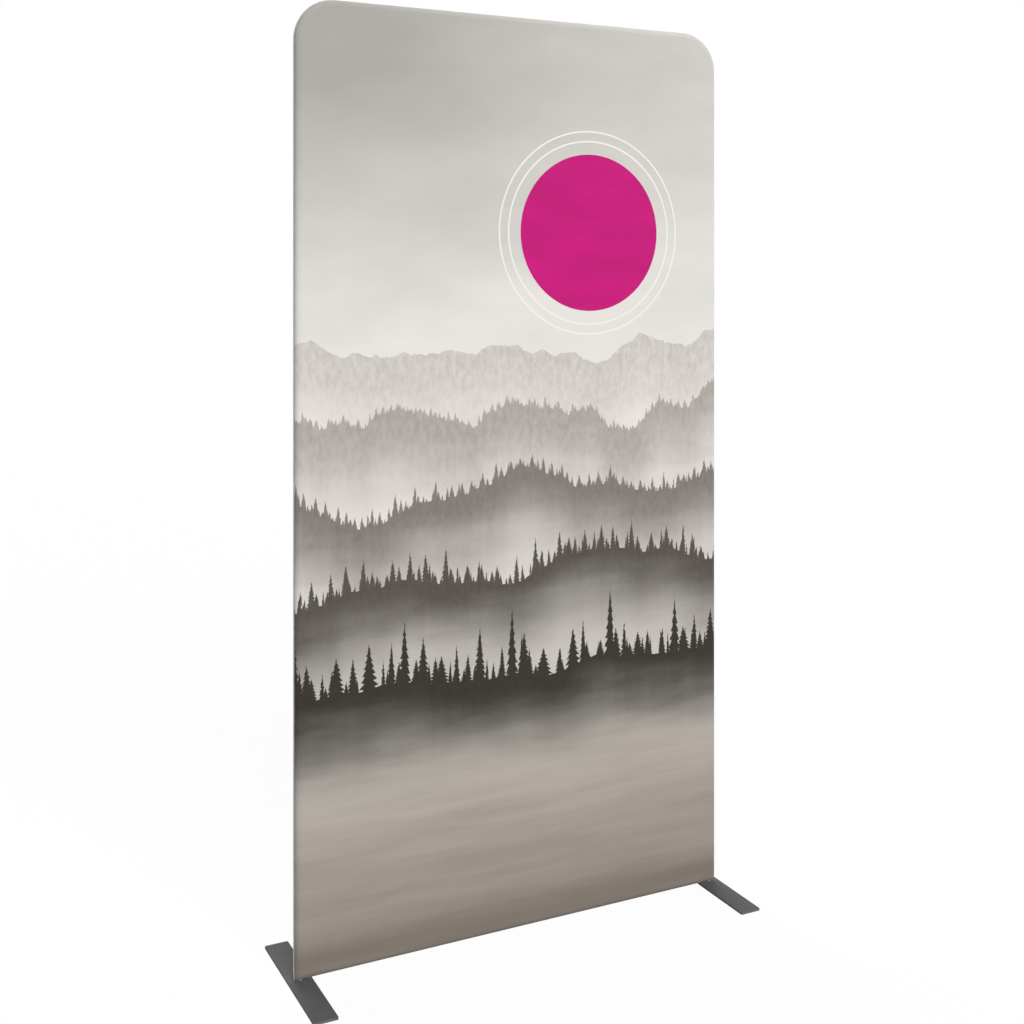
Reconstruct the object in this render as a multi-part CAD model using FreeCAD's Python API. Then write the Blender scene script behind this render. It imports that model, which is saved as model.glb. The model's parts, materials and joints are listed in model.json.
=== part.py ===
"""Free-standing banner display: a stretch cover zipped over a knock-down tube frame on two flat steel feet.

Millimetres. +X runs across the display, -Y is the printed front and +Z is up.
The origin is on the floor, midway between the feet.
"""

import FreeCAD
import Part

import math
import os
from collections import namedtuple

from FreeCAD import Vector

# Overall size, over the cover
DISPLAY_WIDTH = 1200.0
DISPLAY_HEIGHT = 2340.0

# Frame tube
TUBE_DIAMETER = 30.0
TUBE_WALL = 1.5
BEND_RADIUS = 85.0
ELBOW_LEG = 68.0
LOWER_LEG = 95.0

# Joining sleeves, riveted into one tube and slid into the next
SLEEVE_WALL = 1.5
SLEEVE_REACH = 60.0
SLEEVE_CLEARANCE = 0.1
SLEEVE_LEAD_IN = 1.2
RIVET_DIAMETER = 3.2
RIVET_HEAD_DIAMETER = 6.4
RIVET_HEAD_HEIGHT = 1.1
RIVET_BULB_DIAMETER = 4.6
RIVET_BULB_LENGTH = 2.5
RIVET_FROM_PARTING = 30.0
RIVET_CLEARANCE = 0.05

# Snap buttons and the folded leaf springs that push them out
BUTTON_DIAMETER = 7.6
BUTTON_PROUD = 3.0
BUTTON_DOME = 1.6
BUTTON_FROM_PARTING = 32.0
BUTTON_CLEARANCE = 0.2
LEAF_THICKNESS = 0.6
LEAF_WIDTH = 9.0
LEAF_PAD_LENGTH = 13.0
LEAF_FOLD_RADIUS = 2.6
LEAF_FOLD_FROM_BUTTON = 24.0
LEAF_EASE = 0.1

# Cover: stretch fabric drawn over the frame, with its seam forward of the frame's middle plane
COVER_THICKNESS = 0.6
COVER_EASE = 0.3
COVER_ABOVE_FOOT = 3.0
SEAM_FORWARD = 3.5
HEM_SEAM_FORWARD = 8.0
EYELET_CLEARANCE = 0.4

# Feet
FOOT_LENGTH = 390.0
FOOT_WIDTH = 60.0
FOOT_THICKNESS = 5.0
FOOT_CORNER_RADIUS = 5.0
FOOT_EDGE_CHAMFER = 0.6
PAD_THICKNESS = 1.5
PAD_LENGTH = 38.0
PAD_WIDTH = 16.0
PAD_FROM_END = 14.0

# Tapped bushes in the frame's lower corners, and the screws that hold the feet to them
BUSH_DIAMETER = 9.0
BUSH_LENGTH = 22.0
BUSH_CLEARANCE = 0.05
BUSH_CHAMFER = 0.8
SCREW_DIAMETER = 6.0
SCREW_REACH = 18.0
SCREW_RECESS = 0.4
SCREW_LAND = 0.8
SCREW_CLEARANCE = 0.1
SOCKET_ACROSS_FLATS = 4.0
SOCKET_DEPTH = 2.4

# Zip across the foot of the back
ZIP_ABOVE_BAR = 20.0
ZIP_FROM_UPRIGHT = 24.0
ZIP_OPENING = 13.0
TAPE_WIDTH = 13.7
TAPE_THICKNESS = 0.6
TAPE_GAP = 2.6
TAPE_TAIL = 8.0
TAPE_EASE = 0.2
COIL_WIDTH = 5.6
COIL_THICKNESS = 2.6
COIL_PARTING = 0.2
STOP_LENGTH = 3.0
STOP_WIDTH = 2.2
STOP_FROM_END = 4.0

# Zip slider and its pull
SLIDER_LENGTH = 14.0
SLIDER_WIDTH = 10.0
SLIDER_TAIL_WIDTH = 8.0
SLIDER_PLATE = 1.2
SLIDER_CLEARANCE = 0.3
SLIDER_FLANGE = 1.0
SLIDER_CORNER_RADIUS = 1.4
WEDGE_LENGTH = 3.0
WEDGE_FROM_NOSE = 2.0
CROWN_LENGTH = 10.0
CROWN_WIDTH = 2.2
CROWN_OPENING = 2.4
CROWN_THICKNESS = 1.2
PULL_LENGTH = 32.0
PULL_WIDTH = 8.0
PULL_THICKNESS = 1.2
PULL_EYE_LENGTH = 7.0
PULL_ARM_WIDTH = 1.8
PULL_PINTLE_DIAMETER = 1.4
PULL_SIDE_CLEARANCE = 0.4
PULL_HOLE_DIAMETER = 3.6

# Radii worked out from the tube
TUBE_RADIUS = TUBE_DIAMETER / 2
BORE_RADIUS = TUBE_RADIUS - TUBE_WALL
SLEEVE_RADIUS = BORE_RADIUS - SLEEVE_CLEARANCE
SLEEVE_BORE = SLEEVE_RADIUS - SLEEVE_WALL
COVER_INNER = TUBE_RADIUS + COVER_EASE
COVER_OUTER = COVER_INNER + COVER_THICKNESS

# Heights and half widths of the frame's centre lines
FOOT_TOP = PAD_THICKNESS + FOOT_THICKNESS
BOTTOM_Z = FOOT_TOP + COVER_ABOVE_FOOT + COVER_OUTER
TOP_Z = DISPLAY_HEIGHT - COVER_OUTER
UPRIGHT_X = DISPLAY_WIDTH / 2 - COVER_OUTER
BEND_Z = TOP_Z - BEND_RADIUS
BEND_X = UPRIGHT_X - BEND_RADIUS
ELBOW_FOOT_Z = BEND_Z - ELBOW_LEG
TOP_BAR_END = BEND_X - ELBOW_LEG
UPRIGHT_PARTING_Z = (BOTTOM_Z + ELBOW_FOOT_Z) / 2
BOTTOM_BAR_END = UPRIGHT_X - LOWER_LEG

# Leaf spring pads lie on the sleeve's bore, so their corners set how far out they reach
PAD_OUT = math.sqrt(SLEEVE_BORE**2 - (LEAF_WIDTH / 2) ** 2) - LEAF_EASE

# Zip positions
ZIP_Z = BOTTOM_Z + TUBE_RADIUS + ZIP_ABOVE_BAR
ZIP_HALF = UPRIGHT_X - ZIP_FROM_UPRIGHT
TAPE_OUTER = COVER_INNER - TAPE_EASE
TAPE_INNER = TAPE_OUTER - TAPE_THICKNESS
TAPE_MIDDLE = (TAPE_OUTER + TAPE_INNER) / 2
COIL_OUTER = TAPE_MIDDLE + COIL_THICKNESS / 2
COIL_INNER = TAPE_MIDDLE - COIL_THICKNESS / 2
STOP_X = ZIP_HALF - STOP_FROM_END - STOP_LENGTH
SLIDER_NOSE = STOP_X - SLIDER_CLEARANCE
SLIDER_TAIL = SLIDER_NOSE - SLIDER_LENGTH
WEDGE_END = SLIDER_NOSE - WEDGE_FROM_NOSE
WEDGE_START = WEDGE_END - WEDGE_LENGTH
COIL_START = -ZIP_HALF + STOP_FROM_END + STOP_LENGTH
COIL_END = WEDGE_START - SLIDER_CLEARANCE
PLATE_INNER = COIL_OUTER + SLIDER_CLEARANCE
PLATE_OUTER = PLATE_INNER + SLIDER_PLATE
PINTLE_X = (SLIDER_TAIL + SLIDER_NOSE) / 2
PINTLE_Y = PLATE_OUTER + CROWN_OPENING / 2

X = Vector(1, 0, 0)
Y = Vector(0, 1, 0)
Z = Vector(0, 0, 1)
ORIGIN = Vector(0, 0, 0)
SIDES = (("left", -1), ("right", 1))

# A tube joint: where the two tubes part, the way from the sleeve's own tube into the sliding one,
# and the way the button and the rivet face, which is always into the frame
Joint = namedtuple("Joint", "name at along facing")


def placed(shape, joint):
    """A shape drawn about +Z and facing +X, moved to a joint."""
    turn = FreeCAD.Rotation(joint.facing, joint.along.cross(joint.facing), joint.along, "ZXY")
    moved = shape.copy()
    moved.Placement = FreeCAD.Placement(joint.at, turn).multiply(shape.Placement)
    return moved


def box(low, high):
    """A box between two opposite corners."""
    return Part.makeBox(high.x - low.x, high.y - low.y, high.z - low.z, low)


def face_of(edges):
    """A flat face inside a closed chain of edges."""
    return Part.Face(Part.Wire(edges))


def polygon(points):
    """A flat face inside a closed polygon."""
    return Part.Face(Part.makePolygon(points + points[:1]))


def ring(outer, inner, at, normal):
    """A flat ring face."""
    hole = Part.Wire(Part.makeCircle(inner, at, normal))
    hole.reverse()
    return Part.Face([Part.Wire(Part.makeCircle(outer, at, normal)), hole])


def tube(start, end, outer, inner):
    """A straight round tube between two points."""
    run = end - start
    return ring(outer, inner, start, run).extrude(run)


def turned(profile):
    """A solid turned about Z from (radius, height) points."""
    return polygon([Vector(r, 0, h) for r, h in profile]).revolve(ORIGIN, Z, 360)


def cross_pin(profile, along):
    """A pin across a joint: (radius, reach) points from the dome's top round to its rim, closed by the dome."""
    (axis, top), (rim, shoulder) = profile[0], profile[-1]
    rise = top - shoulder
    sphere = (rim**2 + rise**2) / (2 * rise)
    half_angle = math.asin(rim / sphere) / 2
    crown = Vector(sphere * math.sin(half_angle), 0, top - sphere + sphere * math.cos(half_angle))
    corners = [Vector(r, 0, reach) for r, reach in profile]
    edges = [Part.makeLine(a, b) for a, b in zip(corners, corners[1:])]
    edges.append(Part.Arc(corners[-1], crown, corners[0]).toShape())
    pin = face_of(edges).revolve(ORIGIN, Z, 360)
    pin.rotate(ORIGIN, Y, 90)
    pin.translate(Z * along)
    return pin


def rounded_plate(length_x, length_y, radius, low_z, high_z):
    """An upright plate with rounded corners, centred on Z."""
    half_x = length_x / 2
    half_y = length_y / 2
    plate = box(Vector(-half_x, -half_y, low_z), Vector(half_x, half_y, high_z))
    uprights = [e for e in plate.Edges if abs(e.tangentAt(e.FirstParameter).z) > 0.5]
    return plate.makeFillet(min(radius, 0.49 * length_x, 0.49 * length_y), uprights)


def frame_joints():
    """Every place where two frame tubes part, by name."""
    joints = {}
    for side, sign in SIDES:
        inward = X * -sign
        upright = sign * UPRIGHT_X
        spots = (
            Joint("upright", Vector(upright, 0, UPRIGHT_PARTING_Z), Z, inward),
            Joint("elbow", Vector(upright, 0, ELBOW_FOOT_Z), Z, inward),
            Joint("top", Vector(sign * TOP_BAR_END, 0, TOP_Z), X * sign, Z * -1),
            Joint("bottom", Vector(sign * BOTTOM_BAR_END, 0, BOTTOM_Z), inward, Z),
        )
        for spot in spots:
            joints[side + "_" + spot.name] = spot
    return joints


def cross_hole(joint, diameter, along):
    """A drill through the facing wall of a tube, at a distance along the joint's axis."""
    drill = Part.makeCylinder(diameter / 2, TUBE_DIAMETER, Vector(0, 0, along), X)
    return placed(drill, joint)


def snap_hole(joint):
    """The drill for a joint's snap button."""
    return cross_hole(joint, BUTTON_DIAMETER + 2 * BUTTON_CLEARANCE, BUTTON_FROM_PARTING)


def rivet_hole(joint):
    """The drill for a joint's rivet."""
    return cross_hole(joint, RIVET_DIAMETER + 2 * RIVET_CLEARANCE, -RIVET_FROM_PARTING)


def sleeve(joint):
    """A joining sleeve with a tapered nose, its button hole and its rivet hole."""
    profile = (
        (SLEEVE_BORE, -SLEEVE_REACH),
        (SLEEVE_RADIUS, -SLEEVE_REACH),
        (SLEEVE_RADIUS, SLEEVE_REACH - SLEEVE_LEAD_IN),
        (SLEEVE_RADIUS - SLEEVE_WALL / 2, SLEEVE_REACH),
        (SLEEVE_BORE, SLEEVE_REACH),
    )
    return placed(turned(profile), joint).cut([snap_hole(joint), rivet_hole(joint)])


def rivet(joint):
    """A blind rivet: a domed head outside the tube, and a shank that swells inside the sleeve."""
    head_out = TUBE_RADIUS + RIVET_HEAD_HEIGHT
    bulb_out = math.sqrt(SLEEVE_BORE**2 - (RIVET_BULB_DIAMETER / 2) ** 2)
    bulb_in = bulb_out - RIVET_BULB_LENGTH
    shank = RIVET_DIAMETER / 2
    head = RIVET_HEAD_DIAMETER / 2
    bulb = RIVET_BULB_DIAMETER / 2
    profile = (
        (0, head_out),
        (0, bulb_in),
        (bulb, bulb_in),
        (bulb, bulb_out),
        (shank, bulb_out),
        (shank, TUBE_RADIUS),
        (head, TUBE_RADIUS),
    )
    return placed(cross_pin(profile, -RIVET_FROM_PARTING), joint)


def snap_button(joint):
    """A domed button that stands on the leaf spring's pad and reaches out through sleeve and tube."""
    radius = BUTTON_DIAMETER / 2
    top = TUBE_RADIUS + BUTTON_PROUD
    shoulder = top - BUTTON_DOME
    profile = ((0, top), (0, PAD_OUT), (radius, PAD_OUT), (radius, shoulder))
    return placed(cross_pin(profile, BUTTON_FROM_PARTING), joint)


def leaf_spring(joint):
    """A strip folded into a V, with a flat pad under the button and another on the wall opposite."""
    half = LEAF_THICKNESS / 2
    pad = PAD_OUT - half
    pad_end = BUTTON_FROM_PARTING + LEAF_PAD_LENGTH / 2
    pad_start = BUTTON_FROM_PARTING - LEAF_PAD_LENGTH / 2
    fold = BUTTON_FROM_PARTING - LEAF_FOLD_FROM_BUTTON
    reach = math.hypot(pad, pad_start - fold)
    slope = math.atan2(pad, pad_start - fold) - math.asin(LEAF_FOLD_RADIUS / reach)
    knee_x = LEAF_FOLD_RADIUS * math.cos(slope)
    knee_z = fold - LEAF_FOLD_RADIUS * math.sin(slope)
    upper = [Vector(pad, 0, pad_end), Vector(pad, 0, pad_start), Vector(knee_x, 0, knee_z)]
    lower = [Vector(-p.x, 0, p.z) for p in reversed(upper)]
    bend = Part.Arc(upper[-1], Vector(0, 0, fold - LEAF_FOLD_RADIUS), lower[0]).toShape()
    edges = [Part.makeLine(a, b) for a, b in zip(upper, upper[1:])]
    edges.append(bend)
    edges += [Part.makeLine(a, b) for a, b in zip(lower, lower[1:])]
    outline = Part.Wire(edges).makeOffset2D(half, 2, False, False)
    strip = Part.Face(outline).extrude(Y * LEAF_WIDTH)
    strip.translate(Y * (-LEAF_WIDTH / 2))
    return placed(strip, joint)


def lower_upright(sign, joints):
    """A lower upright and the short leg welded to it in a mitre, with a hole below for the foot's bush."""
    corner = Vector(UPRIGHT_X, 0, BOTTOM_Z)
    upright = tube(corner - Z * TUBE_RADIUS, Vector(UPRIGHT_X, 0, UPRIGHT_PARTING_Z), TUBE_RADIUS, BORE_RADIUS)
    leg = tube(corner + X * TUBE_RADIUS, Vector(BOTTOM_BAR_END, 0, BOTTOM_Z), TUBE_RADIUS, BORE_RADIUS)
    span = 2 * TUBE_DIAMETER
    near = corner - Y * TUBE_DIAMETER
    inner = near + (Z - X) * span
    outer = near + (X - Z) * span
    under = polygon([outer, inner, near - (X + Z) * span]).extrude(Y * span)
    over = polygon([outer, inner, near + (X + Z) * span]).extrude(Y * span)
    bush_hole = Part.makeCylinder(BUSH_DIAMETER / 2 + BUSH_CLEARANCE, TUBE_DIAMETER, corner - Z * TUBE_DIAMETER, Z)
    upright = upright.cut([under, rivet_hole(joints["right_upright"])])
    leg = leg.cut([over, bush_hole, rivet_hole(joints["right_bottom"])])
    mitred = upright.fuse(leg)
    return mitred if sign > 0 else mitred.mirror(ORIGIN, X)


def upper_upright(side, sign, joints):
    """The upper upright tube, which slides over the lower one's sleeve and carries the elbow's."""
    foot = Vector(sign * UPRIGHT_X, 0, UPRIGHT_PARTING_Z)
    head = Vector(sign * UPRIGHT_X, 0, ELBOW_FOOT_Z)
    upright = tube(foot, head, TUBE_RADIUS, BORE_RADIUS)
    return upright.cut([snap_hole(joints[side + "_upright"]), rivet_hole(joints[side + "_elbow"])])


def corner_elbow(side, sign, joints):
    """A tube bent through a quarter turn, with a straight leg at each end."""
    foot = Vector(sign * UPRIGHT_X, 0, ELBOW_FOOT_Z)
    spring_line = Vector(sign * UPRIGHT_X, 0, BEND_Z)
    bend_centre = Vector(sign * BEND_X, 0, BEND_Z)
    crown = Vector(sign * BEND_X, 0, TOP_Z)
    tip = Vector(sign * TOP_BAR_END, 0, TOP_Z)
    bend = ring(TUBE_RADIUS, BORE_RADIUS, spring_line, Z).revolve(bend_centre, Y * -sign, 90)
    legs = [tube(foot, spring_line, TUBE_RADIUS, BORE_RADIUS), tube(crown, tip, TUBE_RADIUS, BORE_RADIUS)]
    elbow = bend.multiFuse(legs).removeSplitter()
    return elbow.cut([snap_hole(joints[side + "_elbow"]), snap_hole(joints[side + "_top"])])


def top_bar(joints):
    """The straight bar between the elbows, with a sleeve riveted into each end."""
    half = X * TOP_BAR_END
    bar = tube(Z * TOP_Z - half, Z * TOP_Z + half, TUBE_RADIUS, BORE_RADIUS)
    return bar.cut([rivet_hole(joints[side + "_top"]) for side, sign in SIDES])


def bottom_bar(joints):
    """The straight bar between the lower legs, slid over their sleeves."""
    half = X * BOTTOM_BAR_END
    bar = tube(Z * BOTTOM_Z - half, Z * BOTTOM_Z + half, TUBE_RADIUS, BORE_RADIUS)
    return bar.cut([snap_hole(joints[side + "_bottom"]) for side, sign in SIDES])


def foot_bush(sign):
    """A turned bush welded through the frame's lower corner: it stands on the foot and takes the screw."""
    radius = BUSH_DIAMETER / 2
    hole = SCREW_DIAMETER / 2 + SCREW_CLEARANCE
    head = FOOT_TOP + BUSH_LENGTH
    profile = (
        (hole, FOOT_TOP),
        (radius, FOOT_TOP),
        (radius, head - BUSH_CHAMFER),
        (radius - BUSH_CHAMFER, head),
        (hole, head),
    )
    bush = turned(profile)
    bush.translate(X * sign * UPRIGHT_X)
    return bush


def screw_profile(clearance):
    """(radius, height) points of the foot screw, or of its hole when it has a clearance."""
    shank = SCREW_DIAMETER / 2
    seat = PAD_THICKNESS + SCREW_RECESS
    throat = FOOT_TOP - SCREW_LAND
    head = shank + throat - seat
    return seat, throat, head + clearance, shank + clearance


def foot_screw(sign):
    """A countersunk socket screw, up through the foot and into the bush."""
    seat, throat, head, shank = screw_profile(0)
    profile = ((0, seat), (head, seat), (shank, throat), (shank, FOOT_TOP + SCREW_REACH), (0, FOOT_TOP + SCREW_REACH))
    corner = SOCKET_ACROSS_FLATS / math.sqrt(3)
    angles = [math.radians(60 * step) for step in range(6)]
    hexagon = polygon([Vector(corner * math.cos(a), corner * math.sin(a), seat) for a in angles])
    screw = turned(profile).cut(hexagon.extrude(Z * SOCKET_DEPTH))
    screw.translate(X * sign * UPRIGHT_X)
    return screw


def foot_plate(sign):
    """A flat bar foot with rounded corners, an eased top edge and a countersunk hole from below."""
    plate = rounded_plate(FOOT_WIDTH, FOOT_LENGTH, FOOT_CORNER_RADIUS, PAD_THICKNESS, FOOT_TOP)
    rim = [e for e in plate.Edges if min(v.Z for v in e.Vertexes) > FOOT_TOP - FOOT_THICKNESS / 2]
    plate = plate.makeChamfer(FOOT_EDGE_CHAMFER, rim)
    seat, throat, head, shank = screw_profile(SCREW_CLEARANCE)
    drop = SCREW_RECESS + PAD_THICKNESS
    hole = turned(
        ((0, seat - drop), (head, seat - drop), (head, seat), (shank, throat), (shank, FOOT_TOP + drop), (0, FOOT_TOP + drop))
    )
    plate = plate.cut(hole)
    plate.translate(X * sign * UPRIGHT_X)
    return plate


def foot_pads(sign):
    """Two round-ended rubber pads under a foot, one near each end."""
    pads = []
    for end in (-1, 1):
        pad = rounded_plate(PAD_LENGTH, PAD_WIDTH, PAD_WIDTH, 0, PAD_THICKNESS)
        across = FOOT_LENGTH / 2 - PAD_FROM_END - PAD_WIDTH / 2
        pad.translate(Vector(sign * UPRIGHT_X, end * across, 0))
        pads.append(pad)
    return Part.makeCompound(pads)


def half_round(radius, start, end, outward):
    """Half a round bar between two points, on the outward side of their line."""
    run = end - start
    bow = Part.Arc(start - Y * radius, start + outward * radius, start + Y * radius).toShape()
    flat = Part.makeLine(start + Y * radius, start - Y * radius)
    return face_of([bow, flat]).extrude(run)


def pillow(radius):
    """The drawn-on cover's whole shape at a distance from the frame's centre lines, mitred at its lower corners."""

    def at(x, z):
        return Vector(x, -radius, z)

    inset = BEND_RADIUS * (1 - math.sqrt(0.5))
    shoulder = UPRIGHT_X - inset
    crown = TOP_Z - inset
    sides = [at(UPRIGHT_X, BEND_Z), at(UPRIGHT_X, BOTTOM_Z), at(-UPRIGHT_X, BOTTOM_Z), at(-UPRIGHT_X, BEND_Z)]
    outline = [Part.makeLine(at(-BEND_X, TOP_Z), at(BEND_X, TOP_Z))]
    outline.append(Part.Arc(at(BEND_X, TOP_Z), at(shoulder, crown), sides[0]).toShape())
    outline += [Part.makeLine(a, b) for a, b in zip(sides, sides[1:])]
    outline.append(Part.Arc(sides[-1], at(-shoulder, crown), at(-BEND_X, TOP_Z)).toShape())
    flat = face_of(outline).extrude(Y * 2 * radius)
    rolls = [
        half_round(radius, Vector(-BEND_X, 0, TOP_Z), Vector(BEND_X, 0, TOP_Z), Z),
        half_round(radius, Vector(-UPRIGHT_X, 0, BOTTOM_Z), Vector(UPRIGHT_X, 0, BOTTOM_Z), Z * -1),
    ]
    for side, sign in SIDES:
        outward = X * sign
        foot = Vector(sign * UPRIGHT_X, 0, BOTTOM_Z)
        spring_line = Vector(sign * UPRIGHT_X, 0, BEND_Z)
        rolls.append(half_round(radius, foot, spring_line, outward))
        below = half_round(radius, foot - Z * radius, foot, outward)
        beyond = half_round(radius, foot, foot + outward * radius, Z * -1)
        rolls.append(below.common(beyond))
        bow = Part.Arc(spring_line - Y * radius, spring_line + outward * radius, spring_line + Y * radius).toShape()
        chord = Part.makeLine(spring_line + Y * radius, spring_line - Y * radius)
        rolls.append(face_of([bow, chord]).revolve(Vector(sign * BEND_X, 0, BEND_Z), Y * -sign, 90))
    return flat.multiFuse(rolls).removeSplitter()


def cover_panels():
    """The front panel, whose seam lies further forward under the bottom bar than at the sides; the back panel; and the
    lower back panel, from the zip round the bottom."""
    skin = pillow(COVER_OUTER).cut(pillow(COVER_INNER))
    reach = DISPLAY_WIDTH
    top = DISPLAY_HEIGHT + COVER_OUTER
    low = BOTTOM_Z - reach
    corners = [(-UPRIGHT_X, BOTTOM_Z), (UPRIGHT_X, BOTTOM_Z), (UPRIGHT_X + reach, low), (-UPRIGHT_X - reach, low)]
    under_bar = polygon([Vector(x, -HEM_SEAM_FORWARD, z) for x, z in corners]).extrude(Y * (HEM_SEAM_FORWARD - SEAM_FORWARD))
    front_half = box(Vector(-reach, -2 * COVER_OUTER, -top), Vector(reach, -SEAM_FORWARD, top)).cut(under_bar)
    above_zip = box(Vector(-reach, -SEAM_FORWARD, ZIP_Z), Vector(reach, 2 * COVER_OUTER, top))
    half_opening = ZIP_OPENING / 2
    zip_slot = box(
        Vector(-ZIP_HALF, 0, ZIP_Z - half_opening),
        Vector(ZIP_HALF, 2 * COVER_OUTER, ZIP_Z + half_opening),
    )
    eyelet_radius = BUSH_DIAMETER / 2 + EYELET_CLEARANCE
    eyelets = [
        Part.makeCylinder(eyelet_radius, COVER_OUTER, Vector(sign * UPRIGHT_X, 0, FOOT_TOP), Z) for side, sign in SIDES
    ]
    front = skin.common(front_half)
    back = skin.common(above_zip).cut(zip_slot)
    lower_back = skin.cut([front_half, above_zip, zip_slot] + eyelets)
    return front, back, lower_back


def tape_run(way):
    """One zip tape, above the zip's centre line for way +1 and below it for -1."""
    near = way * TAPE_GAP / 2
    far = way * (TAPE_GAP / 2 + TAPE_WIDTH)
    low = ZIP_Z + min(near, far)
    high = ZIP_Z + max(near, far)
    end = ZIP_HALF + TAPE_TAIL
    return box(Vector(-end, TAPE_INNER, low), Vector(end, TAPE_OUTER, high))


def zip_tape(way):
    """A zip tape with its half of the coil, a flattened round cord along its inner edge."""
    near = COIL_PARTING / 2
    far = COIL_WIDTH / 2
    bulge = min(COIL_THICKNESS / 2, far - near)
    straight = far - bulge

    def at(y, z):
        return Vector(COIL_START, y, ZIP_Z + way * z)

    crest = Part.Arc(at(COIL_OUTER, straight), at(TAPE_MIDDLE, far), at(COIL_INNER, straight)).toShape()
    corners = [at(COIL_INNER, straight), at(COIL_INNER, near), at(COIL_OUTER, near), at(COIL_OUTER, straight)]
    edges = [Part.makeLine(a, b) for a, b in zip(corners, corners[1:]) if a.distanceToPoint(b) > 1e-6]
    coil = face_of(edges + [crest]).extrude(X * (COIL_END - COIL_START))
    return tape_run(way).fuse(coil)


def zip_stops():
    """Two end stops beyond the slider, one on each tape, and one across both tapes where the coil starts."""
    stops = []
    edge = TAPE_GAP / 2
    for way in (-1, 1):
        near = ZIP_Z + way * (edge - TAPE_EASE)
        far = ZIP_Z + way * (edge - TAPE_EASE + STOP_WIDTH)
        clip = box(Vector(STOP_X, COIL_INNER, min(near, far)), Vector(STOP_X + STOP_LENGTH, COIL_OUTER, max(near, far)))
        stops.append(clip.cut(tape_run(way)))
    half = edge - TAPE_EASE + STOP_WIDTH
    start = COIL_START - STOP_LENGTH
    bridge = box(Vector(start, COIL_INNER, ZIP_Z - half), Vector(COIL_START, COIL_OUTER, ZIP_Z + half))
    stops.append(bridge.cut([tape_run(-1), tape_run(1)]))
    return Part.makeCompound(stops)


def zip_slider():
    """Two flanged plates joined by a wedge between the tapes, with a crown on the outer one for the pull."""
    half = SLIDER_WIDTH / 2
    tail = SLIDER_TAIL_WIDTH / 2
    mouth = SLIDER_LENGTH / 2

    def plan(y):
        return [
            Vector(SLIDER_TAIL, y, ZIP_Z - tail),
            Vector(SLIDER_NOSE - mouth, y, ZIP_Z - half),
            Vector(SLIDER_NOSE, y, ZIP_Z - half),
            Vector(SLIDER_NOSE, y, ZIP_Z + half),
            Vector(SLIDER_NOSE - mouth, y, ZIP_Z + half),
            Vector(SLIDER_TAIL, y, ZIP_Z + tail),
        ]

    inner_face = COIL_INNER - SLIDER_CLEARANCE
    back = inner_face - SLIDER_PLATE
    body = polygon(plan(back)).extrude(Y * (PLATE_OUTER - back))
    body = body.makeFillet(
        SLIDER_CORNER_RADIUS, [e for e in body.Edges if abs(e.tangentAt(e.FirstParameter).y) > 0.5]
    )
    throat_half = tail - SLIDER_FLANGE
    throat = box(
        Vector(SLIDER_TAIL - mouth, inner_face, ZIP_Z - throat_half),
        Vector(SLIDER_NOSE + mouth, PLATE_INNER, ZIP_Z + throat_half),
    )
    tape_slot = box(
        Vector(SLIDER_TAIL - mouth, TAPE_INNER - SLIDER_CLEARANCE, ZIP_Z - SLIDER_WIDTH),
        Vector(SLIDER_NOSE + mouth, TAPE_OUTER + SLIDER_CLEARANCE, ZIP_Z + SLIDER_WIDTH),
    )
    wedge_half = TAPE_GAP / 2 - SLIDER_CLEARANCE
    waist = (WEDGE_START + WEDGE_END) / 2
    wedge = polygon(
        [
            Vector(WEDGE_START, inner_face, ZIP_Z),
            Vector(waist, inner_face, ZIP_Z - wedge_half),
            Vector(WEDGE_END, inner_face, ZIP_Z - wedge_half),
            Vector(WEDGE_END, inner_face, ZIP_Z + wedge_half),
            Vector(waist, inner_face, ZIP_Z + wedge_half),
        ]
    ).extrude(Y * (PLATE_INNER - inner_face))
    slider = body.cut([throat, tape_slot]).fuse([wedge, slider_crown()])
    return slider.removeSplitter()


def slider_crown():
    """The arch on the slider that holds the pull."""
    half = CROWN_LENGTH / 2
    top = PLATE_OUTER + CROWN_OPENING + CROWN_THICKNESS
    side = CROWN_WIDTH / 2
    block = box(Vector(PINTLE_X - half, PLATE_OUTER, ZIP_Z - side), Vector(PINTLE_X + half, top, ZIP_Z + side))
    outer_edges = [e for e in block.Edges if min(v.Y for v in e.Vertexes) > top - CROWN_THICKNESS / 2]
    ends = [e for e in outer_edges if abs(e.tangentAt(e.FirstParameter).z) > 0.5]
    arch = block.makeFillet(CROWN_THICKNESS, ends)
    opening = box(
        Vector(PINTLE_X - half + CROWN_THICKNESS, PLATE_OUTER, ZIP_Z - side),
        Vector(PINTLE_X + half - CROWN_THICKNESS, PLATE_OUTER + CROWN_OPENING, ZIP_Z + side),
    )
    return arch.cut(opening)


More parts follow.
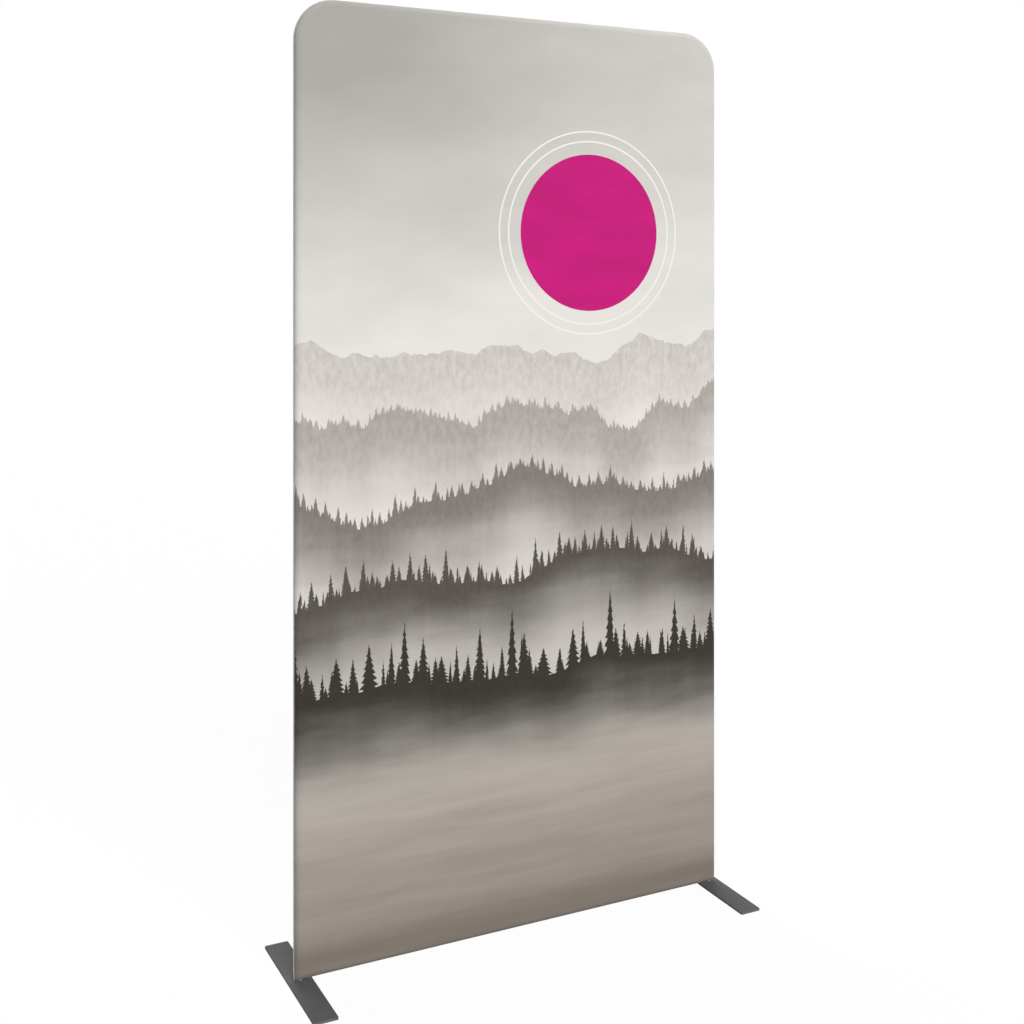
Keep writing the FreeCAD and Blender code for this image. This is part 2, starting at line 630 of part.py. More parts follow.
def zip_pull():
    """A flat pull: a pintle under the slider's crown, two arms beside it, and a round-ended tab with a hole."""
    half = PULL_WIDTH / 2
    thick = PULL_THICKNESS / 2
    arm_near = CROWN_WIDTH / 2 + PULL_SIDE_CLEARANCE
    arm_far = arm_near + PULL_ARM_WIDTH
    eye_end = PINTLE_X - PULL_EYE_LENGTH
    tip = PINTLE_X - PULL_LENGTH
    tab = box(Vector(tip, PINTLE_Y - thick, ZIP_Z - half), Vector(eye_end, PINTLE_Y + thick, ZIP_Z + half))
    tip_edges = [e for e in tab.Edges if max(v.X for v in e.Vertexes) < tip + thick]
    corners = [e for e in tip_edges if abs(e.tangentAt(e.FirstParameter).y) > 0.5]
    tab = tab.makeFillet(0.9 * half, corners)
    hole_centre = Vector(tip + half, PINTLE_Y - PULL_THICKNESS, ZIP_Z)
    tab = tab.cut(Part.makeCylinder(PULL_HOLE_DIAMETER / 2, 2 * PULL_THICKNESS, hole_centre, Y))
    pieces = []
    for way in (-1, 1):
        near = ZIP_Z + way * arm_near
        far = ZIP_Z + way * arm_far
        low = Vector(eye_end - thick, PINTLE_Y - thick, min(near, far))
        pieces.append(box(low, Vector(PINTLE_X, PINTLE_Y + thick, max(near, far))))
        boss_foot = Vector(PINTLE_X, PINTLE_Y, min(near, far))
        pieces.append(Part.makeCylinder(thick, PULL_ARM_WIDTH, boss_foot, Z))
    pintle_foot = Vector(PINTLE_X, PINTLE_Y, ZIP_Z - arm_far)
    pieces.append(Part.makeCylinder(PULL_PINTLE_DIAMETER / 2, 2 * arm_far, pintle_foot, Z))
    return tab.multiFuse(pieces).removeSplitter()


def build():
    """Every piece of the display, by name."""
    joints = frame_joints()
    pieces = {"top_bar": top_bar(joints), "bottom_bar": bottom_bar(joints)}
    for side, sign in SIDES:
        pieces[side + "_lower_upright"] = lower_upright(sign, joints)
        pieces[side + "_upper_upright"] = upper_upright(side, sign, joints)
        pieces[side + "_corner_elbow"] = corner_elbow(side, sign, joints)
        pieces[side + "_foot_bush"] = foot_bush(sign)
        pieces[side + "_foot_screw"] = foot_screw(sign)
        pieces[side + "_foot_plate"] = foot_plate(sign)
        pieces[side + "_foot_pads"] = foot_pads(sign)
    rivets = []
    for name, joint in joints.items():
        rivets.append(rivet(joint))
        pieces[name + "_sleeve"] = sleeve(joint)
        pieces[name + "_snap_button"] = snap_button(joint)
        pieces[name + "_leaf_spring"] = leaf_spring(joint)
    pieces["sleeve_rivets"] = Part.makeCompound(rivets)
    pieces["front_panel"], pieces["back_panel"], pieces["lower_back_panel"] = cover_panels()
    pieces["zip_upper_tape"] = zip_tape(1)
    pieces["zip_lower_tape"] = zip_tape(-1)
    pieces["zip_stops"] = zip_stops()
    pieces["zip_slider"] = zip_slider()
    pieces["zip_pull"] = zip_pull()
    return pieces


def main():
    """Writes one STEP file for each piece."""
    os.makedirs("parts", exist_ok=True)
    for name, shape in build().items():
        sound = shape.isValid() and all(solid.Volume > 0 for solid in shape.Solids)
        print(f"{name}: {len(shape.Solids)} solid(s), {len(shape.Faces)} faces, {shape.Volume:.0f} mm3, sound {sound}")
        shape.exportStep(os.path.join("parts", name + ".step"))


main()
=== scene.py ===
"""Looks of a banner display: a printed stretch cover on a tube frame, with coated feet and a zipped back.

Metres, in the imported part's own frame: X across the display, -Y its printed front, Z up.
"""

import json
import logging
import math
from collections.abc import Sequence
from dataclasses import dataclass
from enum import Enum

import bpy
import numpy as np
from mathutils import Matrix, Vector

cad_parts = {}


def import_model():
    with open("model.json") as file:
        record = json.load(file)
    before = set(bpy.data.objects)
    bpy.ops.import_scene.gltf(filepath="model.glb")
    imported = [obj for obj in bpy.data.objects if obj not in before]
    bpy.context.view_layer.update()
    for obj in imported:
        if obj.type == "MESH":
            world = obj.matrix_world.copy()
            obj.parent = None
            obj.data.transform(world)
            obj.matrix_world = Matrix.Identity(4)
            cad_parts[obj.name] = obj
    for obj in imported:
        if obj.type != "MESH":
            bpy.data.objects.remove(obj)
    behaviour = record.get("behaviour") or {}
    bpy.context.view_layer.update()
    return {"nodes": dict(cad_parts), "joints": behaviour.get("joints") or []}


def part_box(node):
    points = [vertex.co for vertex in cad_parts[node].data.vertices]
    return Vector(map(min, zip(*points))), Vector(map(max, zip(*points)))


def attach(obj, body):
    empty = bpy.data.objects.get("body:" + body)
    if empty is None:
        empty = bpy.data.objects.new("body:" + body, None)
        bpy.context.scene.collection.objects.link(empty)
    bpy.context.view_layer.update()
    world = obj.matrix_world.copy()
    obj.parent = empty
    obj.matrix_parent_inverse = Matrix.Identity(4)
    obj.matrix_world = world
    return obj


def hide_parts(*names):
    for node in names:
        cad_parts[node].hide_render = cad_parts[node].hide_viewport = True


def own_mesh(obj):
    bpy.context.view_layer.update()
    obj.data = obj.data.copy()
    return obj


LOG = logging.getLogger("banner_display")
CUT_MAP = "cut"
STRIP_POINTS = 20
STRIP_POWER = 0.45
WARMTH = 5.5
BLUSH_SHARE = 0.35
MM = 0.001
ROUND = 2 * math.pi
WHITE = (1.0, 1.0, 1.0, 1.0)

Pair = tuple[float, float]
Colour = tuple[float, float, float]
Rgba = tuple[float, float, float, float]
Socket = bpy.types.NodeSocket
Node = bpy.types.Node
Tree = bpy.types.NodeTree
Material = bpy.types.Material
Piece = bpy.types.Object
Finishes = dict[str, Material]


class Named(Enum):
    """A choice whose name, in small letters, is part of the names of its nodes and pieces."""

    @property
    def word(self) -> str:
        """The choice's name in small letters."""
        return self.name.lower()


class Side(Named):
    """The two ends of the display, by the sign of X."""

    LEFT = -1
    RIGHT = 1


class Half(Named):
    """The two halves of the zip, by the way that each lies from the zip's line."""

    UPPER = 1
    LOWER = -1

    @property
    def cloth(self) -> str:
        """The panel of the cover that this half is sewn to."""
        return "back_cloth" if self is Half.UPPER else "lower_back_cloth"


class Facing(Enum):
    """Which way a panel of the cover looks, by the sign of Y."""

    FRONT = -1
    BACK = 1


class Grain(Enum):
    """The way that drawn metal's fine lines run, as the stretch of a noise along X, Y and Z."""

    ACROSS = (6.0, 900.0, 900.0)
    UPRIGHT = (900.0, 900.0, 6.0)
    EVEN = (500.0, 500.0, 500.0)


def linear(level: float) -> float:
    """One screen level from 0 to 255 as linear light."""
    share = level / 255
    return share / 12.92 if share <= 0.04045 else ((share + 0.055) / 1.055) ** 2.4


def screen(red: float, green: float, blue: float) -> Colour:
    """A colour from its screen levels."""
    return linear(red), linear(green), linear(blue)


def rgba(colour: Colour) -> Rgba:
    """A colour with full alpha, as node sockets take it."""
    return (*colour, 1.0)


def warm_grey(level: float, blush: float = 2.5) -> Rgba:
    """A warm grey from its green screen level, redder by the blush and less blue."""
    return rgba(screen(level + blush, level, level - WARMTH - BLUSH_SHARE * blush))


class Board:
    """Writes nodes into one node tree and joins their sockets."""

    def __init__(self, tree: Tree) -> None:
        """Starts on a node tree."""
        self.tree = tree

    def feed(self, socket: Socket, value: object) -> None:
        """Feeds a socket.

        Args:
            socket: The socket.
            value: Another socket to link it to, or a plain value to set it to.
        """
        if isinstance(value, Socket):
            self.tree.links.new(value, socket)
        else:
            socket.default_value = value

    def feed_all(self, node: Node, values: dict) -> None:
        """Feeds a node's sockets, each given by its name or number."""
        for name, value in values.items():
            self.feed(node.inputs[name], value)

    def add(self, kind: str, inputs: dict | None = None, **settings: object) -> Node:
        """Adds a node.

        Args:
            kind: Its type name, without the ShaderNode that starts it.
            inputs: Socket names or numbers with the value or socket that feeds each.
            settings: The node's own properties.

        Returns:
            The new node.
        """
        made = self.tree.nodes.new("ShaderNode" + kind)
        for name, value in settings.items():
            setattr(made, name, value)
        self.feed_all(made, inputs or {})
        return made

    def calc(self, operation: str, *values: object) -> Socket:
        """The result of one Math node."""
        return self.add("Math", dict(enumerate(values)), operation=operation).outputs[0]

    def scaled(self, value: Socket, factor: object, offset: object) -> Socket:
        """A value times a factor, plus an offset."""
        return self.calc("MULTIPLY_ADD", value, factor, offset)

    def ease(self, value: Socket, start: float, end: float, high: float = 1.0) -> Socket:
        """A smooth step of a value, from 0 at start to high at end."""
        inputs = {"Value": value, "From Min": start, "From Max": end, "To Min": 0.0, "To Max": high}
        return self.add("MapRange", inputs, interpolation_type="SMOOTHSTEP").outputs[0]

    def mix(self, share: object, first: object, second: object, mode: str = "MIX") -> Socket:
        """Two colours mixed by a share, which is 0 for the first."""
        node = self.add("Mix", {0: share, 6: first, 7: second}, data_type="RGBA", blend_type=mode)
        return node.outputs[2]

    def shade(self, colour: object, level: Socket) -> Socket:
        """A colour times a grey level."""
        grey = self.add("CombineColor", {0: level, 1: level, 2: level}).outputs[0]
        return self.mix(1.0, colour, grey, "MULTIPLY")

    def noise(self, where: Socket, scale: object, detail: float = 2.0, roughness: float = 0.5) -> Socket:
        """Fractal noise at a point, from 0 to 1."""
        inputs = {"Vector": where, "Scale": scale, "Detail": detail, "Roughness": roughness}
        return self.add("TexNoise", inputs).outputs[0]

    def line_noise(self, where: Socket, detail: float, roughness: float) -> Socket:
        """Fractal noise along a line, from 0 to 1."""
        inputs = {"W": where, "Scale": 1.0, "Detail": detail, "Roughness": roughness}
        return self.add("TexNoise", inputs, noise_dimensions="1D").outputs[0]

    def parts(self, vector: Socket) -> tuple[Socket, Socket, Socket]:
        """A vector's three numbers."""
        x, y, z = self.add("SeparateXYZ", {0: vector}).outputs
        return x, y, z

    def stretched(self, vector: Socket, stretch: Sequence[float]) -> Socket:
        """A vector with each part times its own factor."""
        return self.add("VectorMath", {0: vector, 1: tuple(stretch)}, operation="MULTIPLY").outputs[0]

    def object_place(self) -> Socket:
        """The shaded point in the part's frame."""
        return self.add("TexCoord").outputs["Object"]

    def cut_place(self) -> Socket:
        """The shaded point on the flat cut of its cloth, in metres."""
        return self.add("UVMap", uv_map=CUT_MAP).outputs[0]

    def bump(self, height: Socket, distance: float, strength: float) -> Socket:
        """A normal from a height."""
        return self.add("Bump", {"Height": height, "Distance": distance, "Strength": strength}).outputs[0]

    def effect(self, group: Tree, **inputs: object) -> bpy.types.bpy_prop_collection:
        """Places a shared effect with its own values, and gives its outputs."""
        return self.add("Group", inputs, node_tree=group).outputs


def blank(owner: Material | bpy.types.World) -> Board:
    """Clears the nodes of a material or a world.

    Args:
        owner: The material or world.

    Returns:
        A board on its nodes.
    """
    owner.use_nodes = True
    owner.node_tree.nodes.clear()
    return Board(owner.node_tree)


class Effects:
    """The effects that several finishes share, each built once as a node group.

    Here and in the finishes, levels are a factor and an offset.
    """

    knit_sway: float = 0.35
    knit_lean: float = 0.5
    loop_levels: Pair = (0.45, 0.55)
    yarn_scale: float = 420.0
    yarn_levels: Pair = (0.4, 0.8)
    # Levels of the knit's painted shade: the colour is darker where the knit's height is low, as though the
    # hollows were in shadow.
    hollow_shade_levels: Pair = (0.16, 0.92)
    fine_share: float = 0.6
    cloud_share: float = 1.4

    def __init__(self) -> None:
        """Builds the groups."""
        self.knit = self._knit()
        self.speckle = self._speckle()
        self.drawn = self._drawn()

    @staticmethod
    def _start(name: str, inputs: dict[str, float | None], outputs: Sequence[str]) -> tuple:
        """An empty group with named sockets.

        Args:
            name: The group's name.
            inputs: Each input's name with its usual number, or None for a vector.
            outputs: The names of the outputs, which are numbers.

        Returns:
            The group, a board on it, its input sockets and its output node.
        """
        tree = bpy.data.node_groups.new(name, "ShaderNodeTree")
        for label, usual in inputs.items():
            kind = "NodeSocketVector" if usual is None else "NodeSocketFloat"
            socket = tree.interface.new_socket(name=label, in_out="INPUT", socket_type=kind)
            if usual is not None:
                socket.default_value = usual
        for label in outputs:
            tree.interface.new_socket(name=label, in_out="OUTPUT", socket_type="NodeSocketFloat")
        entry = tree.nodes.new("NodeGroupInput")
        return tree, Board(tree), entry.outputs, tree.nodes.new("NodeGroupOutput")

    def _knit(self) -> Tree:
        """Warp knit: loops in columns, each a rounded rib that leans left and right from course to course.

        The height is |cos| across a wale, whose centre sways with the course, times a ripple along it.

        Returns:
            The group, which puts out the height and a painted shade that darkens the colour where the knit is
            low.
        """
        inputs = {"Cut": None, "Wale": 1.1 * MM, "Course": 0.9 * MM}
        tree, board, given, put = self._start("Knit", inputs, ("Height", "Shade"))
        u, v, _ = board.parts(given["Cut"])
        course = board.calc("MULTIPLY", board.calc("DIVIDE", v, given["Course"]), math.pi)
        wale = board.calc("MULTIPLY", board.calc("DIVIDE", u, given["Wale"]), math.pi)
        sway = board.calc("MULTIPLY", board.calc("SINE", course), self.knit_sway)
        rib = board.calc("ABSOLUTE", board.calc("COSINE", board.calc("ADD", wale, sway)))
        lean = board.calc("ADD", course, board.calc("MULTIPLY", wale, self.knit_lean))
        loop = board.calc("ABSOLUTE", board.calc("SINE", lean))
        even = board.calc("MULTIPLY", rib, board.scaled(loop, *self.loop_levels))
        yarn = board.scaled(board.noise(given["Cut"], self.yarn_scale), *self.yarn_levels)
        height = board.calc("MULTIPLY", even, yarn)
        # The Shade output is painted shade, which follows the height and darkens the hollows between the
        # loops.
        board.feed_all(put, {"Height": height, "Shade": board.scaled(height, *self.hollow_shade_levels)})
        return tree

    def _speckle(self) -> Tree:
        """Uneven tone in two sizes: a fine grain and a broad cloud, weighed and centred on 1.

        Returns:
            The group, which puts out the tone and the grain.
        """
        inputs = {"Place": None, "Fine": 900.0, "Cloud": 9.0, "Depth": 0.1}
        tree, board, given, put = self._start("Speckle", inputs, ("Tone", "Grain"))
        fine = board.noise(given["Place"], given["Fine"])
        cloud = board.noise(given["Place"], given["Cloud"], detail=4.0)
        grain = board.calc("MULTIPLY", fine, self.fine_share)
        both = board.calc("ADD", grain, board.calc("MULTIPLY", cloud, self.cloud_share))
        tone = board.scaled(board.calc("SUBTRACT", both, 1.0), given["Depth"], 1.0)
        board.feed_all(put, {"Tone": tone, "Grain": fine})
        return tree

    def _drawn(self) -> Tree:
        """Fine lines left by a die or a tool: noise at a place that is stretched along the lines.

        Returns:
            The group, which puts out the lines as a height and as a roughness.
        """
        inputs = {"Place": None, "Rough": 0.35, "Depth": 0.12}
        tree, board, given, put = self._start("Drawn lines", inputs, ("Height", "Roughness"))
        lines = board.noise(given["Place"], 1.0, detail=3.0, roughness=0.6)
        rough = board.scaled(board.calc("SUBTRACT", lines, 0.5), given["Depth"], given["Rough"])
        board.feed_all(put, {"Height": lines, "Roughness": rough})
        return tree


@dataclass(frozen=True)
class Finish:
    """What every finish has: the record's slot for it, its colour and its gloss."""

    slot: str
    colour: Colour
    roughness: float

    def start(self) -> tuple[Material, Board, Node]:
        """An empty material with one Principled shader.

        Returns:
            The material, a board on its nodes, and the shader.
        """
        made = bpy.data.materials.new(self.slot)
        board = blank(made)
        shader = board.add("BsdfPrincipled", {"Base Color": rgba(self.colour), "Roughness": self.roughness})
        board.add("OutputMaterial", {"Surface": shader.outputs[0]})
        return made, board, shader

    def material(self, effects: Effects) -> Material:
        """The finish as a material; each kind of finish writes its own."""
        raise NotImplementedError


@dataclass(frozen=True)
class MetalFinish(Finish):
    """Bare or plated metal with fine tool lines."""

    grain: Grain = Grain.EVEN
    relief: float = 0.02 * MM
    bump: float = 0.35

    def material(self, effects: Effects) -> Material:
        """Metal whose lines break up the gloss, with a faint cloud of tone.

        Args:
            effects: The shared effects.

        Returns:
            The material.
        """
        made, board, shader = self.start()
        at = board.object_place()
        along = board.stretched(at, self.grain.value)
        lines = board.effect(effects.drawn, Place=along, Rough=self.roughness)
        tone = board.effect(effects.speckle, Place=at, Fine=700.0, Cloud=25.0, Depth=0.08)
        board.feed_all(shader, {
            "Base Color": board.shade(rgba(self.colour), tone["Tone"]),
            "Roughness": lines["Roughness"],
            "Normal": board.bump(lines["Height"], self.relief, self.bump),
            "Metallic": 1.0,
        })
        return made


@dataclass(frozen=True)
class MouldedFinish(Finish):
    """Moulded nylon or rubber with a fine matt skin."""

    fine: float = 1200.0
    relief: float = 0.06 * MM
    bump: float = 0.5
    uneven: float = 0.2

    def material(self, effects: Effects) -> Material:
        """Plastic with a grainy skin and slightly uneven colour.

        Args:
            effects: The shared effects.

        Returns:
            The material.
        """
        made, board, shader = self.start()
        at = board.object_place()
        skin = board.effect(effects.speckle, Place=at, Fine=self.fine, Cloud=60.0, Depth=0.12)
        board.feed_all(shader, {
            "Base Color": board.shade(rgba(self.colour), skin["Tone"]),
            "Roughness": board.scaled(skin["Grain"], self.uneven, self.roughness - self.uneven / 2),
            "Normal": board.bump(skin["Grain"], self.relief, self.bump),
        })
        return made


@dataclass(frozen=True)
class CoatFinish(Finish):
    """Fine-textured powder coat, rubbed a little paler along the edges of a foot plate."""

    rubbed: Colour = (0.2, 0.2, 0.2)
    rub_width: float = 1.6 * MM
    rub_share: float = 0.45
    rub_scale: float = 260.0
    rub_break: float = 1.6
    rub_reach: Pair = (1.5, 0.4)
    relief: float = 0.08 * MM
    bump: float = 0.6
    uneven: float = 0.16
    foot_x: float = 584.1 * MM
    half_width: float = 30 * MM
    half_length: float = 195 * MM

    def material(self, effects: Effects) -> Material:
        """Coat with a pebbled skin; its rub follows the distance to the nearest side, broken by noise.

        Args:
            effects: The shared effects.

        Returns:
            The material.
        """
        made, board, shader = self.start()
        at = board.object_place()
        skin = board.effect(effects.speckle, Place=at, Fine=1500.0, Cloud=14.0, Depth=0.14)
        x, y, _ = board.parts(at)
        across = board.calc("SUBTRACT", board.calc("ABSOLUTE", x), self.foot_x)
        to_side = board.calc("SUBTRACT", self.half_width, board.calc("ABSOLUTE", across))
        to_end = board.calc("SUBTRACT", self.half_length, board.calc("ABSOLUTE", y))
        patches = board.noise(at, self.rub_scale, detail=3.0)
        broken = board.calc("MULTIPLY", patches, self.rub_break * self.rub_width)
        inside = board.calc("ADD", board.calc("MINIMUM", to_side, to_end), broken)
        start, end = (reach * self.rub_width for reach in self.rub_reach)
        rub = board.ease(inside, start, end, self.rub_share)
        coat = board.shade(rgba(self.colour), skin["Tone"])
        board.feed_all(shader, {
            "Base Color": board.mix(rub, coat, rgba(self.rubbed)),
            "Roughness": board.scaled(skin["Grain"], self.uneven, self.roughness - self.uneven / 2),
            "Normal": board.bump(skin["Grain"], self.relief, self.bump),
            "Specular IOR Level": 0.12,
        })
        return made


@dataclass(frozen=True)
class KnitFinish(Finish):
    """Stretch knit in one colour."""

    wale: float = 1.1 * MM
    course: float = 0.9 * MM
    relief: float = 0.12 * MM
    bump: float = 0.5

    def cloth(self, board: Board, shader: Node, effects: Effects, colour: object) -> None:
        """Dresses a shader as the knit.

        Args:
            board: The material's board.
            shader: Its Principled shader.
            effects: The shared effects.
            colour: The yarn's colour, plain or from a socket.
        """
        cut = board.cut_place()
        knit = board.effect(effects.knit, Cut=cut, Wale=self.wale, Course=self.course)
        tone = board.effect(effects.speckle, Place=cut, Fine=800.0, Cloud=3.0, Depth=0.05)
        board.feed_all(shader, {
            # The knit's Shade output darkens the yarn colour in the hollows between the loops: painted shade.
            "Base Color": board.shade(colour, board.calc("MULTIPLY", knit["Shade"], tone["Tone"])),
            "Normal": board.bump(knit["Height"], self.relief, self.bump),
            "Specular IOR Level": 0.25,
            "Sheen Weight": 0.08,
            "Sheen Roughness": 0.5,
        })

    def material(self, effects: Effects) -> Material:
        """Plain knit.

        Args:
            effects: The shared effects.

        Returns:
            The material.
        """
        made, board, shader = self.start()
        self.cloth(board, shader, effects, rgba(self.colour))
        return made


@dataclass(frozen=True)
class Mottle:
    """An uneven tone on the flat cut: a noise, stretched across and up, and the levels it is put to."""

    stretch: Pair
    scale: float = 1.0
    detail: float = 2.0
    roughness: float = 0.5
    levels: Pair = (1.0, 0.0)

    def noise(self, board: Board, cut: Socket) -> Socket:
        """The plain noise, from 0 to 1."""
        where = board.stretched(cut, (*self.stretch, 1.0))
        return board.noise(where, self.scale, self.detail, self.roughness)

    def tone(self, board: Board, cut: Socket) -> Socket:
        """The noise put to its levels."""
        return board.scaled(self.noise(board, cut), *self.levels)

    def swing(self, board: Board, cut: Socket) -> Socket:
        """The noise about 0, half a unit each way."""
        return board.calc("SUBTRACT", self.noise(board, cut), 0.5)


@dataclass(frozen=True)
class CutSpot:
    """The shaded point on the flat cut: its place, how far across and up it lies, and a ragged across."""

    cut: Socket
    u: Socket
    v: Socket
    ragged: Socket

    @classmethod
    def on(cls, board: Board, fray: Mottle, reach: float) -> "CutSpot":
        """Reads the point in a material.

        Args:
            board: The material's board.
            fray: The noise that moves the ragged across from the plain one.
            reach: How far the noise moves it in all.

        Returns:
            The point.
        """
        cut = board.cut_place()
        u, v, _ = board.parts(cut)
        return cls(cut, u, v, board.scaled(fray.swing(board, cut), reach, u))


@dataclass(frozen=True)
class Ridge:
    """One ridge of the print: where it stands, how it rises and falls, its tones, and its trees to the metre.

    The tone is a screen level at the crest, and fades to the mist's over the depth below it.
    """

    base: float
    rise: float
    pitch: float
    seed: float
    tone: float
    mist: float
    depth: float
    trees: float = 0.0
    tree_height: float = 0.0


@dataclass(frozen=True)
class PrintFinish(KnitFinish):
    """Knit printed with misty wooded ridges in warm greys under one large coloured disc."""

    disc: Colour = screen(200, 18, 122)
    disc_at: tuple[float, float, float] = (0.2, 1.79, 0.0)
    disc_radius: float = 0.205
    disc_edge: float = 0.8 * MM
    ring_gaps: tuple[float, ...] = (0.034, 0.06)
    ring_edge: Pair = (2.6 * MM, 1.4 * MM)
    ring_level: float = 246.0
    sky_left: float = 172.0
    sky_right: float = 209.0
    haze: float = 231.0
    field_top: float = 176.0
    field_middle: float = 146.0
    field_foot: float = 117.0
    field_blush: float = 9.0
    ridge_blush: float = 5.0
    ridge_edge: float = 0.7 * MM
    sky_span: Pair = (-0.6, 0.6)
    haze_span: Pair = (1.45, 2.25)
    field_span: Pair = (0.15, 0.5)
    foot_span: Pair = (0.04, 0.15)
    mist_span: Pair = (0.56, 0.36)
    fray: Mottle = Mottle((160.0, 90.0))
    fray_reach: float = 7 * MM
    clouds: Mottle = Mottle((1.3, 3.4), 1.4, 5.0, 0.55, (0.36, 0.82))
    ink: Mottle = Mottle((3.0, 9.0), 1.6, 4.0, 0.6, (0.5, 0.76))
    leaves: Mottle = Mottle((70.0, 34.0), 1.0, 4.0, 0.65, (0.7, 0.66))
    wisps: Mottle = Mottle((1.6, 6.0), 1.5, 4.0, 0.55)
    wisp_share: float = 0.5
    streaks: Mottle = Mottle((2.2, 26.0), 1.0, 6.0, 0.62, (0.5, 0.75))
    drift: Mottle = Mottle((1.8, 5.0), 1.3, 4.0)
    drift_reach: float = 0.22
    tree_sizes: tuple[float, ...] = (1.0, 0.62, 0.36)
    tree_scatter: float = 0.9
    tree_heights: Pair = (0.75, 0.4)
    tree_tiers: Pair = (3.0, 6.0)
    tree_girths: Pair = (0.12, 0.24)
    tree_saw: Pair = (0.5, 0.62)
    tree_edge: Pair = (-0.01, 0.02)
    ridges: tuple[Ridge, ...] = (
        Ridge(1.50, 0.17, 2.1, 3.1, 203, 234, 0.30),
        Ridge(1.33, 0.15, 2.9, 11.7, 170, 228, 0.28, 48, 0.026),
        Ridge(1.13, 0.13, 2.4, 27.4, 124, 216, 0.27, 36, 0.048),
        Ridge(0.92, 0.10, 2.2, 41.9, 80, 199, 0.27, 24, 0.085),
        Ridge(0.66, 0.08, 1.9, 58.2, 46, 182, 0.34, 14, 0.16),
    )

    def material(self, effects: Effects) -> Material:
        """Printed knit: sky, disc and rings first, then the ridges from far to near, then the field.

        Args:
            effects: The shared effects.

        Returns:
            The material.
        """
        made, board, shader = self.start()
        at = CutSpot.on(board, self.fray, self.fray_reach)
        picture = self._disc(board, at, self._sky(board, at))
        for ridge in self.ridges:
            picture = self._ridge(board, at, ridge, picture)
        self.cloth(board, shader, effects, self._field(board, at, picture))
        return made

    def _sky(self, board: Board, at: CutSpot) -> Socket:
        """Sky that brightens from left to right and down into haze, under soft clouds.

        Args:
            board: The material's board.
            at: The point on the cut.

        Returns:
            The sky's colour.
        """
        left, right = warm_grey(self.sky_left), warm_grey(self.sky_right)
        across = board.mix(board.ease(at.u, *self.sky_span), left, right)
        sky = board.mix(board.ease(at.v, *self.haze_span), warm_grey(self.haze), across)
        return board.shade(sky, self.clouds.tone(board, at.cut))

    def _disc(self, board: Board, at: CutSpot, under: Socket) -> Socket:
        """A disc with uneven ink, and thin pale rings round it, by the distance from its centre.

        Args:
            board: The material's board.
            at: The point on the cut.
            under: The picture that it is printed over.

        Returns:
            The picture with the disc.
        """
        inputs = {0: at.cut, 1: self.disc_at}
        away = board.add("VectorMath", inputs, operation="DISTANCE").outputs["Value"]
        picture = under
        for gap in self.ring_gaps:
            from_ring = board.calc("ABSOLUTE", board.calc("SUBTRACT", away, self.disc_radius + gap))
            picture = board.mix(board.ease(from_ring, *self.ring_edge), picture, warm_grey(self.ring_level))
        inked = board.shade(rgba(self.disc), self.ink.tone(board, at.cut))
        inside = board.ease(away, self.disc_radius + self.disc_edge, self.disc_radius - self.disc_edge)
        return board.mix(inside, picture, inked)

    def _trees(self, board: Board, at: CutSpot, ridge: Ridge, ground: Socket, share: float) -> Socket:
        """A mask of firs, one at each random point along u.

        A fir's half width narrows in a straight line from its foot to its tip, times a saw of branch tiers.

        Args:
            board: The material's board.
            at: The point on the cut, whose ragged across frays the branches.
            ridge: The ridge that they stand on.
            ground: How far a point is below the ridge's crest.
            share: The size of these firs to the ridge's tallest; smaller ones stand closer.

        Returns:
            1 inside a fir and 0 elsewhere.
        """
        spot = board.scaled(at.ragged, ridge.trees / share, ridge.seed + share)
        inputs = {"W": spot, "Scale": 1.0, "Randomness": self.tree_scatter}
        cell = board.add("TexVoronoi", inputs, voronoi_dimensions="1D")
        chance = board.add("SeparateColor", {0: cell.outputs["Color"]}).outputs
        heights = (share * ridge.tree_height * part for part in self.tree_heights)
        tall = board.scaled(chance[0], *heights)
        to_tip = board.calc("ADD", 1.0, board.calc("DIVIDE", ground, tall))
        tiers = board.calc("MULTIPLY", to_tip, board.scaled(chance[1], *self.tree_tiers))
        girth = board.calc("MULTIPLY", to_tip, board.scaled(chance[2], *self.tree_girths))
        saw = board.scaled(board.calc("FRACT", tiers), *self.tree_saw)
        half = board.calc("MULTIPLY", girth, saw)
        return board.ease(board.calc("SUBTRACT", half, cell.outputs["Distance"]), *self.tree_edge)

    def _ridge(self, board: Board, at: CutSpot, ridge: Ridge, under: Socket) -> Socket:
        """A ridge below a crest line of noise along u, with firs on it, paler with depth below the crest.

        Args:
            board: The material's board.
            at: The point on the cut.
            ridge: The ridge.
            under: The picture that it is printed over.

        Returns:
            The picture with the ridge.
        """
        along = board.scaled(at.u, ridge.pitch, ridge.seed)
        swell = board.calc("SUBTRACT", board.line_noise(along, detail=7.0, roughness=0.5), 0.5)
        ground = board.calc("SUBTRACT", board.scaled(swell, 2 * ridge.rise, ridge.base), at.v)
        inside = board.ease(ground, -self.ridge_edge, self.ridge_edge)
        for share in self.tree_sizes if ridge.trees else ():
            inside = board.calc("MAXIMUM", inside, self._trees(board, at, ridge, ground, share))
        wisp = board.calc("MULTIPLY", self.wisps.swing(board, at.cut), self.wisp_share * ridge.depth)
        fog = board.ease(board.calc("ADD", ground, wisp), 0.0, ridge.depth)
        crest, mist = (warm_grey(tone, self.ridge_blush) for tone in (ridge.tone, ridge.mist))
        wood = board.shade(crest, self.leaves.tone(board, at.cut))
        return board.mix(inside, under, board.mix(fog, wood, mist))

